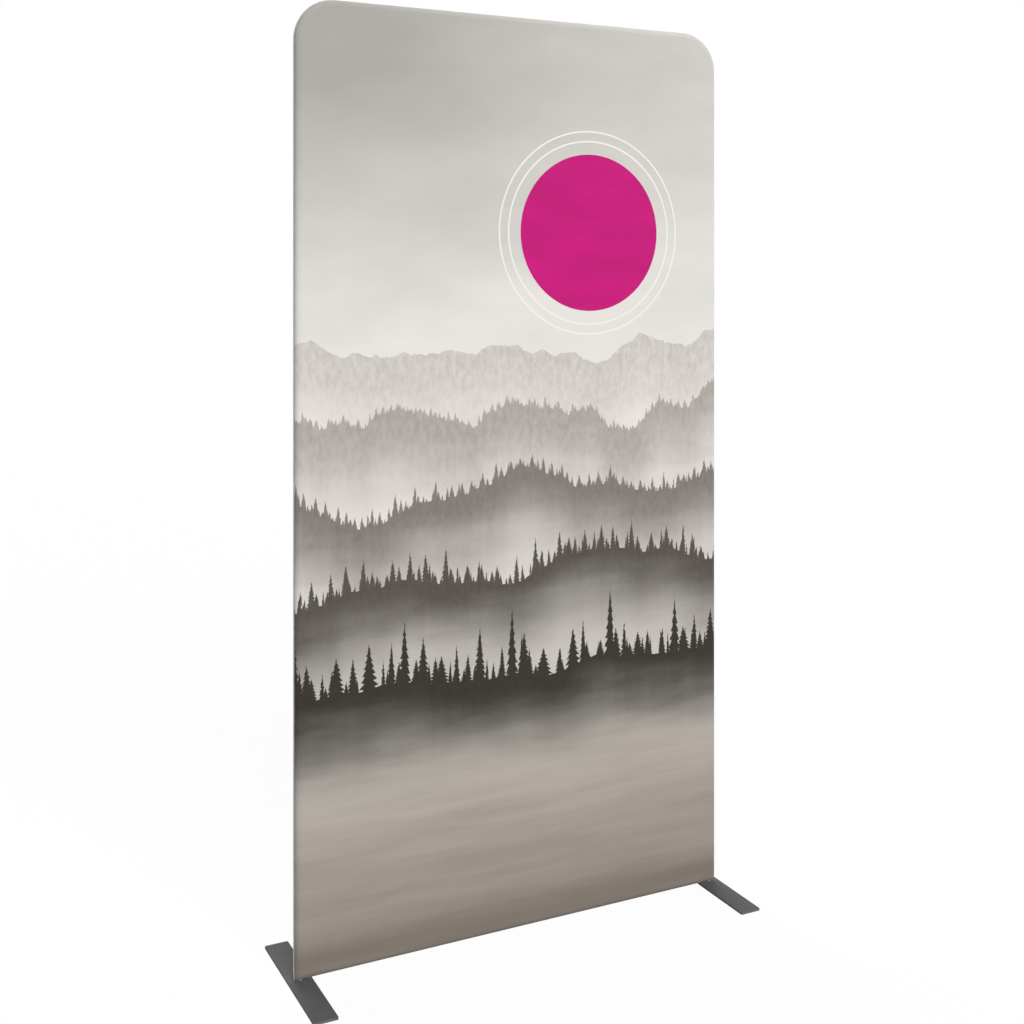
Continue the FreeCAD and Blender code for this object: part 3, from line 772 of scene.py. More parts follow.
    def _field(self, board: Board, at: CutSpot, under: Socket) -> Socket:
        """Low mist over open ground that darkens towards the foot in two stages, in long level streaks.

        Args:
            board: The material's board.
            at: The point on the cut.
            under: The picture that it is printed over.

        Returns:
            The picture with the field.
        """
        tones = (self.field_foot, self.field_middle, self.field_top)
        foot, middle, head = (warm_grey(tone, self.field_blush) for tone in tones)
        ground = board.mix(board.ease(at.v, *self.field_span), middle, head)
        ground = board.mix(board.ease(at.v, *self.foot_span), foot, ground)
        ground = board.shade(ground, self.streaks.tone(board, at.cut))
        level = board.scaled(self.drift.swing(board, at.cut), self.drift_reach, at.v)
        return board.mix(board.ease(level, *self.mist_span), under, ground)


def numbering(grid: np.ndarray) -> np.ndarray:
    """The number of each point of a grid, counted row by row."""
    return np.arange(grid.size).reshape(grid.shape)


def grid_faces(rows: int, columns: int, wrap: bool = False) -> np.ndarray:
    """The quads of a grid of points, counted row by row.

    Args:
        rows: Points along the first parameter.
        columns: Points along the second.
        wrap: Whether the last column joins the first.

    Returns:
        An array of four point numbers for each quad.
    """
    ahead = columns if wrap else columns - 1
    row, column = np.meshgrid(np.arange(rows - 1) * columns, np.arange(ahead), indexing="ij")
    beside = (column + 1) % columns
    quads = np.stack([row + column, row + beside, row + columns + beside, row + columns + column], -1)
    return quads.reshape(-1, 4)


def tube_faces(rings: int, around: int) -> np.ndarray:
    """The quads of a closed tube: each ring joined to the next, and each end filled by strips across it.

    Args:
        rings: Rings along the tube.
        around: Points in a ring, an even number.

    Returns:
        An array of four point numbers for each quad.
    """
    near = np.arange(around // 2 - 1)
    far = around - 1 - near
    end = np.stack([near, near + 1, far - 1, far], -1)
    return np.concatenate([grid_faces(rings, around, wrap=True), end[:, ::-1], end + (rings - 1) * around])


def carry(path: np.ndarray, wide: np.ndarray, thick: np.ndarray, section: np.ndarray) -> np.ndarray:
    """Carries a section along a path: to each of its points it adds the section's numbers along two ways.

    Args:
        path: The path's points.
        wide: The direction of the section's first number, for each point of the path or for all.
        thick: The direction of its second number.
        section: The section's points, two numbers each.

    Returns:
        A ring of points for each point of the path.
    """
    wide, thick = (np.broadcast_to(way, path.shape)[:, None] for way in (wide, thick))
    return path[:, None] + section[None, :, :1] * wide + section[None, :, 1:] * thick


def unit(vectors: np.ndarray) -> np.ndarray:
    """Vectors at a length of 1, one to a row."""
    return vectors / np.linalg.norm(vectors, axis=1, keepdims=True)


def circle(points: int) -> np.ndarray:
    """Even angles round a circle, without its end."""
    return np.linspace(0, ROUND, points, endpoint=False)


def strip_section(width: float, thickness: float) -> np.ndarray:
    """The round-edged section of a strip: an oval squared off by a power under 1 of the cosine.

    Args:
        width: The strip's width.
        thickness: Its thickness.

    Returns:
        The section's points, two numbers each.
    """
    turn = circle(STRIP_POINTS)
    across = np.sign(np.cos(turn)) * np.abs(np.cos(turn)) ** STRIP_POWER
    return np.stack([width / 2 * across, thickness / 2 * np.sin(turn)], -1)


def mesh_piece(name: str, points: np.ndarray, faces: np.ndarray, cut: np.ndarray | None = None) -> Piece:
    """Makes a piece from point and quad arrays.

    Args:
        name: The piece's name.
        points: An array of places, three numbers each.
        faces: An array of quads.
        cut: Each point's place on the flat cloth, in metres, where the piece is cloth.

    Returns:
        The new object, smooth shaded.
    """
    mesh = bpy.data.meshes.new(name)
    mesh.from_pydata(points.reshape(-1, 3).tolist(), [], faces.tolist())
    if cut is not None:
        corner = np.zeros(len(mesh.loops), np.int64)
        mesh.loops.foreach_get("vertex_index", corner)
        mesh.uv_layers.new(name=CUT_MAP).data.foreach_set("uv", cut[corner].astype(np.float32).ravel())
    mesh.polygons.foreach_set("use_smooth", np.ones(len(mesh.polygons), bool))
    mesh.update()
    made = bpy.data.objects.new(name, mesh)
    bpy.context.scene.collection.objects.link(made)
    return made


def thicken(piece: Piece, thickness: float) -> None:
    """Gives a cloth its thickness, inwards from its outer face.

    Args:
        piece: The cloth.
        thickness: Its thickness.
    """
    solid = piece.modifiers.new("Thickness", "SOLIDIFY")
    solid.thickness = thickness
    solid.offset = -1.0
    solid.use_even_offset = False


def dress(piece: Piece, material: Material) -> None:
    """Puts one material on a piece or a CAD node."""
    piece.data.materials.clear()
    piece.data.materials.append(material)


def place(piece: Piece, material: Material) -> None:
    """Dresses a new piece and lets it ride on the frame.

    Args:
        piece: The piece.
        material: Its material.
    """
    dress(piece, material)
    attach(piece, "frame")
    LOG.info("made %s", piece.name)


@dataclass(frozen=True)
class Edge:
    """The rolled edge of a panel: its first points' numbers, the way out and the seam's angle at each.

    A closed edge runs all round the panel.
    """

    start: np.ndarray
    outward: np.ndarray
    seam: np.ndarray
    closed: bool = False


@dataclass
class Eyelet:
    """The corded eyelet in the hem, which a foot's bush comes through."""

    radius: float = 6.1 * MM
    cord: float = 1.1 * MM
    proud: float = 0.6 * MM
    sunk: float = 0.2 * MM
    ribs: int = 36
    rib_depth: float = 0.16
    around: int = 144
    across: int = 12

    def make(self, cover: "Cover", side: Side) -> Piece:
        """Makes a ring of half-round section, laid on the bottom roll and sunk a little into it.

        An arc distance becomes an angle round the bar, and small ribs round the ring stand for its thread.

        Args:
            cover: The cover that it is sewn in.
            side: The end of the display.

        Returns:
            The eyelet as a piece.
        """
        turn = circle(self.around)[None, :]
        section = circle(self.across)[:, None]
        ribs = 1 + self.rib_depth * np.cos(self.ribs * turn)
        away = self.radius + self.cord * np.cos(section)
        proud = np.where(np.sin(section) > 0, self.proud * ribs, self.sunk) * np.sin(section)
        angle = away * np.sin(turn) / cover.roll
        radius = cover.roll + proud
        x = side.value * cover.half_width + away * np.cos(turn)
        points = np.stack([x, radius * np.sin(angle), cover.bottom - radius * np.cos(angle)], -1)
        faces = grid_faces(self.across + 1, self.around, wrap=True) % (self.across * self.around)
        return mesh_piece(f"{side.word}_eyelet", points, faces[:, ::-1])


@dataclass
class Cover:
    """The stretch cover: a printed front, a back and a lower back panel, seamed just forward of its edge.

    A tuck is how deep an edge draws in at its seam, and over what length. Tuck steps are shares of both:
    how far from the seam, and how deep. The places of columns and rows are in millimetres. Front rows and
    back rows give the first plain row's place and how many there are.
    """

    half_width: float
    bottom: float
    top: float
    roll: float
    seam: float
    hem_seam: float
    zip_line: float
    bend: float = 85 * MM
    bend_rows: int = 22
    thickness: float = 0.45 * MM
    stretch: float = 1.03
    corner: float = 0.94
    corner_ease: float = 14 * MM
    front_tuck: Pair = (0.75 * MM, 2.6 * MM)
    back_tuck: Pair = (0.3 * MM, 0.8 * MM)
    tuck_steps: tuple[Pair, ...] = ((0.6, 0.12), (0.25, 0.5), (0.04, 1.0))
    zip_half: float = 560.1 * MM
    zip_gap: float = 6.5 * MM
    zip_draw: float = 26 * MM
    zip_end: float = 0.25 * MM
    zip_sink: float = 0.5 * MM
    zip_fold_reach: float = 0.9 * MM
    side_columns: tuple[float, ...] = (82, 58, 40, 30, 26.2, 24.6, 23.6, 22, 19, 15, 12, 9, 6, 3, 0)
    middle_columns: int = 26
    middle_end: float = 108.0
    foot_rows: tuple[float, ...] = (0, 3, 9, 16)
    front_rows: tuple[float, int] = (24.0, 108)
    above_zip: tuple[float, ...] = (0, 0.7, 1.8, 4, 8, 14, 24, 38)
    back_rows: tuple[float, int] = (58.0, 96)
    below_zip: tuple[float, ...] = (12, 8, 4, 1.8, 0.7, 0)
    bars: tuple[str, ...] = (
        "top_bar",
        "bottom_bar",
        "left_upper_upright",
        "right_upper_upright",
        "left_lower_upright",
        "right_lower_upright",
    )

    @classmethod
    def from_frame(cls) -> "Cover":
        """Reads the cover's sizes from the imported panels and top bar.

        Returns:
            The cover.
        """
        low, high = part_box("lower_back_panel")
        bar_low, bar_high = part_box("top_bar")
        front_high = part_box("front_panel")[1]
        return cls(
            half_width=high.x - high.y,
            bottom=low.z + high.y,
            top=(bar_low.z + bar_high.z) / 2,
            roll=high.y,
            seam=-front_high.y,
            hem_seam=-low.y,
            zip_line=high.z,
        )

    @property
    def seam_angle(self) -> float:
        """How far round the front roll the seam lies, at the sides and the top."""
        return math.acos(self.seam / self.roll)

    @property
    def hem_angle(self) -> float:
        """How far round the front roll the seam lies under the bottom bar."""
        return math.acos(self.hem_seam / self.roll)

    @property
    def bend_foot(self) -> float:
        """The height at which the top bends start."""
        return self.top - self.bend

    def foot_seam(self, x: np.ndarray) -> np.ndarray:
        """The seam's angle along the bottom edge: it eases from the side's to the hem's near each corner."""
        share = np.clip((self.half_width - np.abs(x)) / self.corner_ease, 0, 1)
        return self.seam_angle + (self.hem_angle - self.seam_angle) * share * share * (3 - 2 * share)

    def side_seam(self, count: int) -> np.ndarray:
        """The seam's angle at each of some points along a side or the top."""
        return np.full(count, self.seam_angle)

    def column_shares(self) -> np.ndarray:
        """Where a panel's columns stand: close together near the sides and the ends of the zip.

        Returns:
            Each column's share of the half width, from -1 to 1.
        """
        middle = np.linspace(0, 1 - self.middle_end * MM / self.half_width, self.middle_columns)
        half = np.concatenate([middle, 1 - np.array(self.side_columns) * MM / self.half_width])
        return np.concatenate([-half[:0:-1], half])

    def flat_grid(self, heights: np.ndarray) -> tuple[np.ndarray, np.ndarray]:
        """The flat of a panel: columns keep their share of a row's half width, which follows the top bends.

        Args:
            heights: The rows' heights.

        Returns:
            The X of each point and its Z.
        """
        into_bend = np.clip(heights - self.bend_foot, 0, self.bend)
        half = self.half_width - self.bend + np.sqrt(self.bend**2 - into_bend**2)
        x = half[:, None] * self.column_shares()[None, :]
        return x, np.broadcast_to(heights[:, None], x.shape).copy()

    def bend_heights(self) -> np.ndarray:
        """Row heights through the top bends, even in angle, so that the row ends run round the bend."""
        angle = np.linspace(0, math.pi / 2, self.bend_rows + 1)[1:]
        return self.bend_foot + self.bend * np.sin(angle)

    def side_outward(self, heights: np.ndarray) -> np.ndarray:
        """The way out of the right side at each height: level below the bend, then along its radius."""
        rise = np.clip((heights - self.bend_foot) / self.bend, 0, 1)
        return np.stack([np.sqrt(1 - rise**2), rise], -1)

    def profile(self, limit: np.ndarray, steps: int, tuck: Pair) -> tuple[np.ndarray, np.ndarray]:
        """The rolled edge's angles and radii, from the flat round to the seam, where it tucks in.

        Args:
            limit: The seam's angle from the flat, at each point of the edge.
            steps: How many steps the plain part of the roll takes.
            tuck: How deep the edge tucks in at the seam, and over what length.

        Returns:
            The angles, a row for each step, and the radius of each row.
        """
        depth, reach = tuck
        away, sunk = np.array(self.tuck_steps).T
        tuck_angle = reach / self.roll
        plain = np.linspace(0, 1, steps + 1)[1:, None] * (limit - tuck_angle)[None, :]
        tucked = limit[None, :] - tuck_angle * away[:, None]
        radii = np.concatenate([np.full(steps, self.roll), self.roll - depth * sunk])
        return np.concatenate([plain, tucked]), radii[:, None]

    def panel(self, name: str, flat: Sequence[np.ndarray], edge: Edge, facing: Facing, steps: int) -> Piece:
        """Makes a panel: a flat grid with its edge rolled round the frame.

        A rolled point is the edge's point, plus the way out times r sin(angle); its depth is r cos(angle).

        Args:
            name: The piece's name.
            flat: The flat's X, depth inwards and Z grids.
            edge: The edge that rolls.
            facing: Whether the panel is the front or the back.
            steps: How many steps the roll takes.

        Returns:
            The panel as a piece, with its cut map.
        """
        x, sunk, z = flat
        if facing is Facing.FRONT:
            angles, radii = self.profile(edge.seam, steps, self.front_tuck)
        else:
            angles, radii = self.profile(math.pi - edge.seam, steps, self.back_tuck)
        flat_points = np.stack([x, facing.value * (self.roll - sunk), z], -1).reshape(-1, 3)
        flat_cut = np.stack([x, z], -1).reshape(-1, 2)
        base = flat_cut[edge.start]
        dip = (self.roll - sunk.reshape(-1)[edge.start])[None, :] / self.roll
        rolled = base[None] + edge.outward[None] * (radii * np.sin(angles))[..., None]
        depth = facing.value * radii * np.cos(angles) * dip
        rim_points = np.stack([rolled[..., 0], depth, rolled[..., 1]], -1).reshape(-1, 3)
        rim_cut = (base[None] + edge.outward[None] * (self.roll * angles)[..., None]).reshape(-1, 2)
        numbers = np.concatenate([edge.start, x.size + np.arange(angles.size)])
        rim_faces = numbers[grid_faces(len(angles) + 1, len(edge.start), edge.closed)][:, ::-1]
        faces = np.concatenate([grid_faces(*x.shape), rim_faces])
        if facing is Facing.BACK:
            faces = faces[:, ::-1]
        points = np.concatenate([flat_points, rim_points])
        piece = mesh_piece(name, points, faces, np.concatenate([flat_cut, rim_cut]))
        thicken(piece, self.thickness)
        return piece

    def front(self) -> Piece:
        """Makes the printed front panel, rolled all round, mitred at the lower corners.

        Returns:
            The panel.
        """
        first, count = self.front_rows
        straight = np.linspace(self.bottom + first * MM, self.bend_foot, count)
        heights = np.concatenate([self.bottom + np.array(self.foot_rows) * MM, straight, self.bend_heights()])
        x, z = self.flat_grid(heights)
        number = numbering(x)
        start = np.concatenate([number[0], number[1:, -1], number[-1, -2::-1], number[-2:0:-1, 0]])
        right = self.side_outward(heights)
        foot = np.tile((0.0, -1.0), (len(x[0]), 1))
        foot[0] = (-self.corner, -self.corner)
        foot[-1] = (self.corner, -self.corner)
        head = np.tile((0.0, 1.0), (len(foot) - 1, 1))
        outward = np.concatenate([foot, right[1:], head, (right * (-1, 1))[-2:0:-1]])
        seam = np.concatenate([self.foot_seam(x[0]), self.side_seam(len(start) - len(foot))])
        edge = Edge(start, outward, seam, closed=True)
        return self.panel("front_cloth", (x, np.zeros_like(x), z), edge, Facing.FRONT, steps=16)

    def zip_fold(self, x: np.ndarray, above: np.ndarray) -> tuple[np.ndarray, np.ndarray]:
        """How a panel's edge along the zip draws back from the zip's line and folds in.

        Args:
            x: The grid's X.
            above: How far each row is from the zip's line.

        Returns:
            How far each point moves away from the line, and how far it sinks.
        """
        along = 1 / (1 + np.exp((np.abs(x) - self.zip_half) / self.zip_end))
        near = np.clip(1 - above / self.zip_draw, 0, 1)[:, None]
        fold = self.zip_sink * np.exp(-above / self.zip_fold_reach)[:, None] * along
        return self.zip_gap * along * near, fold

    def back(self) -> Piece:
        """Makes the back panel, from the zip up, rolled round the sides and the top to the seam.

        Returns:
            The panel.
        """
        first, count = self.back_rows
        plain = np.linspace(first * MM, self.bend_foot - self.zip_line, count)
        above = np.concatenate([np.array(self.above_zip) * MM, plain])
        heights = np.concatenate([self.zip_line + above, self.bend_heights()])
        x, z = self.flat_grid(heights)
        lift, fold = self.zip_fold(x, heights - self.zip_line)
        number = numbering(x)
        start = np.concatenate([number[:, -1], number[-1, -2::-1], number[-2::-1, 0]])
        right = self.side_outward(heights)
        head = np.tile((0.0, 1.0), (len(x[0]) - 1, 1))
        outward = np.concatenate([right, head, (right * (-1, 1))[-2::-1]])
        edge = Edge(start, outward, self.side_seam(len(start)))
        return self.panel("back_cloth", (x, fold, z + lift), edge, Facing.BACK, steps=18)

    def lower_back(self) -> Piece:
        """Makes the lower back panel, from the zip down and under the bar to the seam, with mitred corners.

        Returns:
            The panel.
        """
        foot_heights = self.bottom + np.array(self.foot_rows) * MM
        heights = np.concatenate([foot_heights, self.zip_line - np.array(self.below_zip) * MM])
        x, z = self.flat_grid(heights)
        lift, fold = self.zip_fold(x, self.zip_line - heights)
        number = numbering(x)
        start = np.concatenate([number[::-1, 0], number[0, 1:], number[1:, -1]])
        left = np.tile((-1.0, 0.0), (len(x), 1))
        foot = np.tile((0.0, -1.0), (len(x[0]) - 1, 1))
        right = np.tile((1.0, 0.0), (len(x) - 1, 1))
        left[-1] = (-self.corner, -self.corner)
        foot[-1] = (self.corner, -self.corner)
        outward = np.concatenate([left, foot, right])
        hem = self.foot_seam(x[0, 1:])
        seam = np.concatenate([self.side_seam(len(left)), hem, self.side_seam(len(right))])
        edge = Edge(start, outward, seam)
        return self.panel("lower_back_cloth", (x, fold, z - lift), edge, Facing.BACK, steps=20)

    def build(self, finishes: Finishes) -> None:
        """Args:
            finishes: The materials by the name of their finish.
        """
        front, back, lower = self.front(), self.back(), self.lower_back()
        eyelets = [Eyelet().make(self, side) for side in Side]
        for eyelet in eyelets:
            place(eyelet, finishes["zip_tape"])
        arc, hem_arc = self.roll * self.seam_angle, self.roll * self.hem_angle
        wrap, hem_wrap = self.roll * math.pi - arc, self.roll * math.pi - hem_arc
        upper, under = self.top - self.zip_line + wrap, self.zip_line - self.bottom + hem_wrap
        panels = (
            (front, "front_panel", "front_print", arc, self.top - self.bottom + arc + hem_arc, []),
            (back, "back_panel", "back_cloth", wrap, upper, []),
            (lower, "lower_back_panel", "back_cloth", wrap, under, eyelets),
        )
        for piece, node, slot, beyond, long, trim in panels:
            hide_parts(node)
            place(piece, finishes[slot])


@dataclass
class Zip:
    """The zip's cloth and thread: two tapes with interlocking coils, top stitching and bar tacks."""

    line: float
    half_length: float = 568.1 * MM
    tape_depth: float = 14.8 * MM
    tape_near: float = 1.3 * MM
    tape_far: float = 15.0 * MM
    tape_thickness: float = 0.6 * MM
    tape_rings: int = 70
    wave_height: float = 0.06 * MM
    wave_rate: float = 90.0
    coil_start: float = -553.1 * MM
    coil_end: float = 547.5 * MM
    pitch: float = 1.5 * MM
    coil_height: float = 1.55 * MM
    coil_depth: float = 0.95 * MM
    coil_centre: float = 0.95 * MM
    coil_steps: int = 8
    wire: float = 0.32 * MM
    wire_sides: int = 6
    parted: float = 1.15 * MM
    stitch_length: float = 2.6 * MM
    stitch_pitch: float = 3.4 * MM
    stitch_radius: float = 0.24 * MM
    stitch_ends: Pair = (0.1, 0.9)
    stitch_rings: int = 6
    stitch_sides: int = 6
    stitch_inset: float = 3 * MM
    stitch_margin: float = 2.4 * MM
    tacks: int = 9
    tack_margin: float = 1.6 * MM

    def tape(self, half: Half) -> Piece:
        """Makes a tape: a thin round-edged section carried along X on a path that waves a little in depth.

        Args:
            half: The half of the zip.

        Returns:
            The tape, with its cut map.
        """
        x = np.linspace(-self.half_length, self.half_length, self.tape_rings)
        middle = (self.tape_near + self.tape_far) / 2
        section = strip_section(self.tape_far - self.tape_near, self.tape_thickness)
        depth = self.tape_depth + self.wave_height * np.sin(x * self.wave_rate)
        path = np.stack([x, depth, np.full(len(x), self.line + half.value * middle)], -1)
        points = carry(path, np.array([0, 0, half.value]), np.array([0, 1, 0]), section)
        cut = np.stack(np.meshgrid(x, middle + section[:, 0], indexing="ij"), -1).reshape(-1, 2)
        faces = tube_faces(len(x), STRIP_POINTS)
        return mesh_piece(f"zip_{half.word}_tape_cloth", points, faces[:, :: -half.value], cut)

    def coil(self, half: Half) -> Piece:
        """Makes half the coil: a flattened helix of round wire, half a pitch along from the other half.

        Along the turn t, x runs on by the pitch, depth is cos t and height sin t, each times its own reach.

        Args:
            half: The half of the zip.

        Returns:
            The half of the coil.
        """
        turns = int((self.coil_end - self.coil_start) / self.pitch) - 1
        t = np.linspace(0, ROUND * turns, self.coil_steps * turns + 1)
        x = self.coil_start + self.pitch * (t / ROUND + 0.5 + 0.25 * half.value)
        y = self.tape_depth + self.coil_depth * np.cos(t)
        z = self.line + half.value * (self.coil_centre + self.coil_height * np.sin(t))
        path = np.stack([x, y, z], -1)
        along = unit(np.gradient(path, axis=0))
        side = unit(np.array([1.0, 0, 0]) - along[:, :1] * along)
        angle = circle(self.wire_sides)
        ring = self.wire * np.stack([np.cos(angle), np.sin(angle)], -1)
        points = carry(path, side, np.cross(along, side), ring)
        return mesh_piece(f"zip_{half.word}_coil", points, tube_faces(len(t), self.wire_sides))

    def part(self, coil: Piece, half: Half) -> None:
        """Gives half the coil its own mesh.

        Args:
            coil: The half of the coil.
            half: Which half it is; not used.
        """
        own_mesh(coil)

    def stitches(self, name: str, x: np.ndarray, z: np.ndarray, depth: float) -> Piece:
        """Makes a row of stitches: capsules along X, half sunk in the cloth.

        Over the turn a from end to end, its half length goes by cos a, and its radius by the root of sin a.

        Args:
            name: The piece's name.
            x: The X of each stitch's middle, or of all.
            z: The Z of each stitch's middle, or of all.
            depth: The cloth's depth.

        Returns:
            The stitches as one piece.
        """
        a = np.linspace(*self.stitch_ends, self.stitch_rings)[:, None] * math.pi
        b = circle(self.stitch_sides)[None, :]
        swell = self.stitch_radius * np.sqrt(np.sin(a))
        run = np.broadcast_to(self.stitch_length / 2 * np.cos(a) / np.cos(a[-1]), (len(a), b.size))
        local = np.stack([run, swell * np.cos(b), swell * np.sin(b)], -1).reshape(-1, 3)
        middle = np.stack(np.broadcast_arrays(x, depth, z), -1)
        many = tube_faces(len(a), b.size)[None] + len(local) * np.arange(len(middle))[:, None, None]
        return mesh_piece(name, middle[:, None] + local[None], many.reshape(-1, 4))

    def build(self, cover: Cover, finishes: Finishes) -> None:
        """Args:
            cover: The cover that the zip is sewn in.
            finishes: The materials by the name of their finish.
        """
        end = cover.zip_half - self.stitch_inset
        x = np.arange(-end, end, self.stitch_pitch)
        for half in Half:
            tape, coil = self.tape(half), self.coil(half)
            seam = self.line + half.value * (cover.zip_gap + self.stitch_margin)
            sewn = self.stitches(f"zip_{half.word}_stitching", x, seam, cover.roll)
            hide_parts(f"zip_{half.word}_tape")
            place(tape, finishes["zip_tape"])
            place(coil, finishes["zip_stop"])
            place(sewn, finishes["thread"])
            half.cloth
            self.part(coil, half)
        heights = self.line + np.linspace(-cover.zip_gap, cover.zip_gap, self.tacks)
        for side in Side:
            across = side.value * (cover.zip_half + self.tack_margin)
            tack = self.stitches(f"zip_{side.word}_bar_tack", across, heights, cover.roll)
            place(tack, finishes["thread"])


@dataclass
class LeafSprings:
    """The folded strips behind the snap buttons, which close up as their buttons are pressed."""

    thickness: float = 0.6 * MM
    width: float = 9.0 * MM
    pad_length: float = 13.0 * MM
    fold_radius: float = 2.6 * MM
    fold_from_button: float = 24.0 * MM
    pad_points: int = 4
    leg_points: int = 7
    fold_points: int = 8
    button_ending: str = "_button_press"

    def line(self, reach: float) -> np.ndarray:
        """The strip's middle line: a pad, a straight leg and half the fold's arc, then the same mirrored.

        Args:
            reach: How far the middle of a pad lies from the tube's.

        Returns:
            Each point's distance out towards the button, and along the tube from it.
        """
        half = self.pad_length / 2
        run = self.fold_from_button - half
        slope = math.atan2(reach, run) - math.asin(self.fold_radius / math.hypot(reach, run))
        turn = np.linspace(slope, math.pi / 2, self.fold_points)
        pad = np.stack([np.full(self.pad_points, reach), np.linspace(half, -half, self.pad_points)], -1)
        fold = (0, -self.fold_from_button) + self.fold_radius * np.stack([np.cos(turn), -np.sin(turn)], -1)
        leg = pad[-1] + np.linspace(0, 1, self.leg_points)[1:-1, None] * (fold[0] - pad[-1])
        upper = np.concatenate([pad, leg, fold])
        return np.concatenate([upper, upper[-2::-1] * (-1, 1)])

    def spring(self, stem: str, joint: dict, material: Material) -> None:
        """Makes a spring in its node's place, with its own mesh.

        Args:
            stem: The start of the names of the spring and its button.
            joint: The button's joint.
            material: The spring's finish.
        """
        node = f"{stem}_leaf_spring"
        low, high = (np.array(corner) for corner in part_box(node))
        button = np.mean(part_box(f"{stem}_snap_button"), axis=0)
        out = -np.array(joint["axis"], float)
        offset = (low + high) / 2 - button
        heart = button + out * (offset @ out)
        to_fold = offset - out * (offset @ out)
        along = -to_fold / np.linalg.norm(to_fold)
        reach = abs((high - low) @ out) / 2
        line = self.line(reach - self.thickness / 2)
        run = unit(np.gradient(line, axis=0))
        path = heart + line[:, :1] * out + line[:, 1:] * along
        thick = run[:, 1:] * out - run[:, :1] * along
        points = carry(path, np.cross(out, along), thick, strip_section(self.width, self.thickness))
        piece = mesh_piece(f"{stem}_folded_spring", points, tube_faces(len(path), STRIP_POINTS))
        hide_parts(node)
        place(piece, material)
        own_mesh(piece)

    def build(self, joints: Sequence[dict], finishes: Finishes) -> None:
        """Makes the spring of every button that is pressed.

        Args:
            joints: The part's joints.
            finishes: The materials by the name of their finish.
        """
        for joint in joints:
            if joint["name"].endswith(self.button_ending):
                self.spring(joint["name"].removesuffix(self.button_ending), joint, finishes["leaf_spring"])


@dataclass
class HardParts:
    """The tubes and fittings, the feet and the zip's hard parts: CAD nodes that only need finishes."""

    finish_by_ending: tuple[tuple[str, str], ...] = (
        ("_sleeve", "sleeve"),
        ("_snap_button", "snap_button"),
        ("_rivets", "rivet"),
        ("_foot_bush", "foot_bush"),
        ("_foot_screw", "foot_screw"),
        ("_foot_plate", "foot_coat"),
        ("_foot_pads", "foot_pad"),
        ("zip_stops", "zip_stop"),
        ("zip_slider", "zip_metal"),
        ("zip_pull", "zip_metal"),
        ("_upright", "tube_upright"),
        ("_elbow", "tube_bent"),
        ("_bar", "tube_across"),
    )

    def build(self, nodes: dict[str, Piece], finishes: Finishes) -> None:
        """Dresses every CAD node that its name's ending finds a finish for.

        Args:
            nodes: The CAD nodes by name.
            finishes: The materials by the name of their finish.
        """
        for name, node in sorted(nodes.items()):
            for ending, finish in self.finish_by_ending:
                if name.endswith(ending):
                    dress(node, finishes[finish])
                    LOG.info("dressed %s as %s", name, finish)


@dataclass(frozen=True)
class Lamp:
    """A broad even lamp: its light on a surface that faces it, and in degrees its tilt, turn and softness.

    The tilt is from overhead, the turn is 0 in front and 90 to the right, and softness is its width.
    """

    name: str
    strength: float
    tilt: float
    turn: float
    soft: float

    def build(self) -> None:
        """Hangs the lamp."""
        data = bpy.data.lights.new(self.name, "SUN")
        data.energy = self.strength
        data.angle = math.radians(self.soft)
        made = bpy.data.objects.new(self.name, data)
        made.rotation_euler = (math.radians(self.tilt), 0.0, math.radians(self.turn))
        bpy.context.scene.collection.objects.link(made)


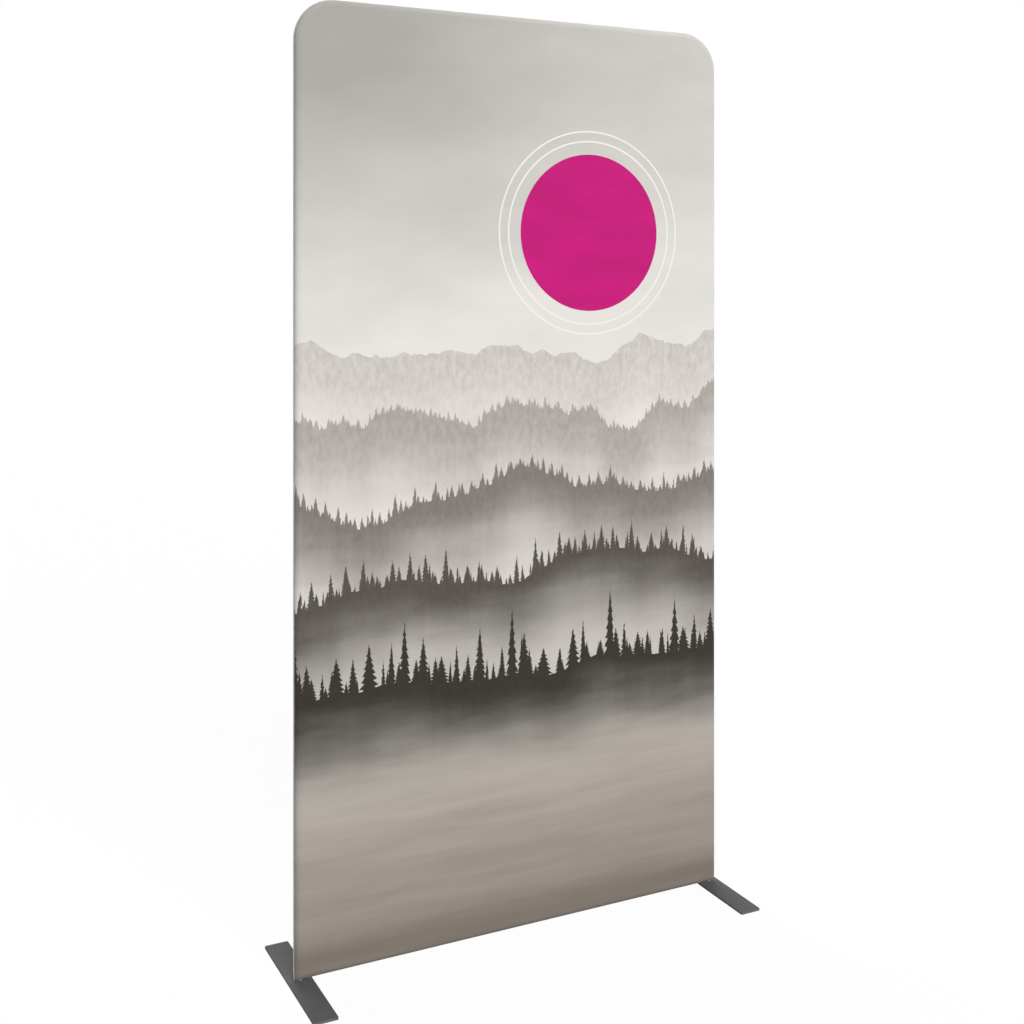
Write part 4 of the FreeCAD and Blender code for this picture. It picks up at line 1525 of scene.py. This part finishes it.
@dataclass
class Studio:
    """Camera, floor, world and lamps."""

    turn: float = 0.462639
    eye: tuple[float, float, float] = (-1.561043, -3.086708, 1.683726)
    lens: float = 47.365
    sensor: float = 36.0
    shift: float = -0.23304
    ambient: float = 0.1
    floor_half: float = 30.0
    floor_white: Rgba = (0.98, 0.98, 0.98, 1.0)
    floor_bounce: Rgba = (0.2, 0.2, 0.2, 1.0)
    floor_glow: float = 0.95
    lamps: tuple[Lamp, ...] = (
        Lamp("key", 2.87, 61.0, 3.0, 40.0),
        Lamp("left side", 0.42, 80.0, -88.0, 40.0),
        Lamp("right side", 0.6, 80.0, 88.0, 40.0),
        Lamp("rear", 1.5, 40.0, 170.0, 50.0),
        Lamp("back", 0.95, 86.0, 168.0, 30.0),
    )

    def camera(self) -> None:
        """Sets a level camera whose shift keeps the uprights parallel, as the photograph has them."""
        data = bpy.data.cameras.new("camera")
        data.lens = self.lens
        data.sensor_width = self.sensor
        data.shift_y = self.shift
        made = bpy.data.objects.new("camera", data)
        made.location = self.eye
        made.rotation_euler = (math.pi / 2, 0.0, -self.turn)
        bpy.context.scene.collection.objects.link(made)
        bpy.context.scene.camera = made

    @staticmethod
    def plain_rays(board: Board) -> Socket:
        """Tells the rays that should see a plain white background: camera, glossy and transmission rays.

        Args:
            board: The board of a material or the world.

        Returns:
            1 for those rays and 0 for the rest.
        """
        path = board.add("LightPath").outputs
        seen = board.calc("MAXIMUM", path["Is Camera Ray"], path["Is Glossy Ray"])
        return board.calc("MAXIMUM", seen, path["Is Transmission Ray"])

    def world(self) -> None:
        """Makes an even pale world that looks white."""
        world = bpy.data.worlds.new("studio")
        board = blank(world)
        level = board.scaled(self.plain_rays(board), 1.0 - self.ambient, self.ambient)
        light = board.add("Background", {"Color": WHITE, "Strength": level})
        board.add("OutputWorld", {"Surface": light.outputs[0]})
        bpy.context.scene.world = world

    def floor(self) -> None:
        """Makes a large white floor that keeps a faint shadow: mostly its own white, and the rest lit."""
        corners = self.floor_half * np.array([[-1, -1, 0], [1, -1, 0], [1, 1, 0], [-1, 1, 0]])
        floor = mesh_piece("floor", corners, np.array([[0, 1, 2, 3]]))
        made = bpy.data.materials.new("floor")
        board = blank(made)
        seen = self.plain_rays(board)
        lit = board.add("BsdfDiffuse", {"Color": board.mix(seen, self.floor_bounce, self.floor_white)})
        white = board.add("Emission", {"Color": WHITE, "Strength": 1.0})
        share = board.calc("MULTIPLY", seen, self.floor_glow)
        both = board.add("MixShader", {0: share, 1: lit.outputs[0], 2: white.outputs[0]})
        board.add("OutputMaterial", {"Surface": both.outputs[0]})
        dress(floor, made)

    def build(self) -> None:
        """Sets everything up, at a level where a colour renders about as written."""
        self.camera()
        self.world()
        self.floor()
        for lamp in self.lamps:
            lamp.build()
        bpy.context.scene.view_settings.view_transform = "Standard"


def make_finishes() -> Finishes:
    """Builds every material once.

    Returns:
        The materials by the name of their finish.
    """
    effects = Effects()
    finishes: dict[str, Finish] = {
        "front_print": PrintFinish("front_print", (0.62, 0.6, 0.59), 0.82),
        "back_cloth": KnitFinish("back_cloth", (0.86, 0.855, 0.845), 0.84),
        "zip_tape": KnitFinish("zip_tape", (0.8, 0.795, 0.785), 0.8, 0.9 * MM, 0.7 * MM),
        "thread": MouldedFinish("zip_tape", (0.82, 0.815, 0.805), 0.6, 2500.0),
        "zip_stop": MouldedFinish("zip_stop", (0.78, 0.775, 0.765), 0.45),
        "zip_metal": MetalFinish("zip_metal", (0.62, 0.62, 0.63), 0.27),
        "tube_across": MetalFinish("frame_tube", (0.74, 0.75, 0.76), 0.36, Grain.ACROSS),
        "tube_upright": MetalFinish("frame_tube", (0.74, 0.75, 0.76), 0.36, Grain.UPRIGHT),
        "tube_bent": MetalFinish("frame_tube", (0.74, 0.75, 0.76), 0.36),
        "sleeve": MetalFinish("sleeve", (0.68, 0.69, 0.7), 0.3, Grain.UPRIGHT),
        "rivet": MetalFinish("rivet", (0.7, 0.7, 0.71), 0.28),
        "snap_button": MetalFinish("snap_button", (0.66, 0.66, 0.67), 0.25),
        "leaf_spring": MetalFinish("leaf_spring", (0.46, 0.47, 0.5), 0.3),
        "foot_bush": MetalFinish("foot_bush", (0.66, 0.65, 0.64), 0.3, Grain.ACROSS),
        "foot_screw": MetalFinish("foot_screw", (0.55, 0.55, 0.56), 0.3),
        "foot_coat": CoatFinish("foot_coat", (0.114, 0.114, 0.116), 0.78),
        "foot_pad": MouldedFinish("foot_pad", (0.03, 0.03, 0.03), 0.8, 700.0),
    }
    return {name: finish.material(effects) for name, finish in finishes.items()}


def main() -> None:
    """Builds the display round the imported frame."""
    logging.basicConfig(level=logging.INFO, format="%(message)s")
    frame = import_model()
    Studio().build()
    finishes = make_finishes()
    cover = Cover.from_frame()
    cover.build(finishes)
    Zip(cover.zip_line).build(cover, finishes)
    LeafSprings().build(frame["joints"], finishes)
    HardParts().build(frame["nodes"], finishes)


if __name__ == "__main__":
    main()
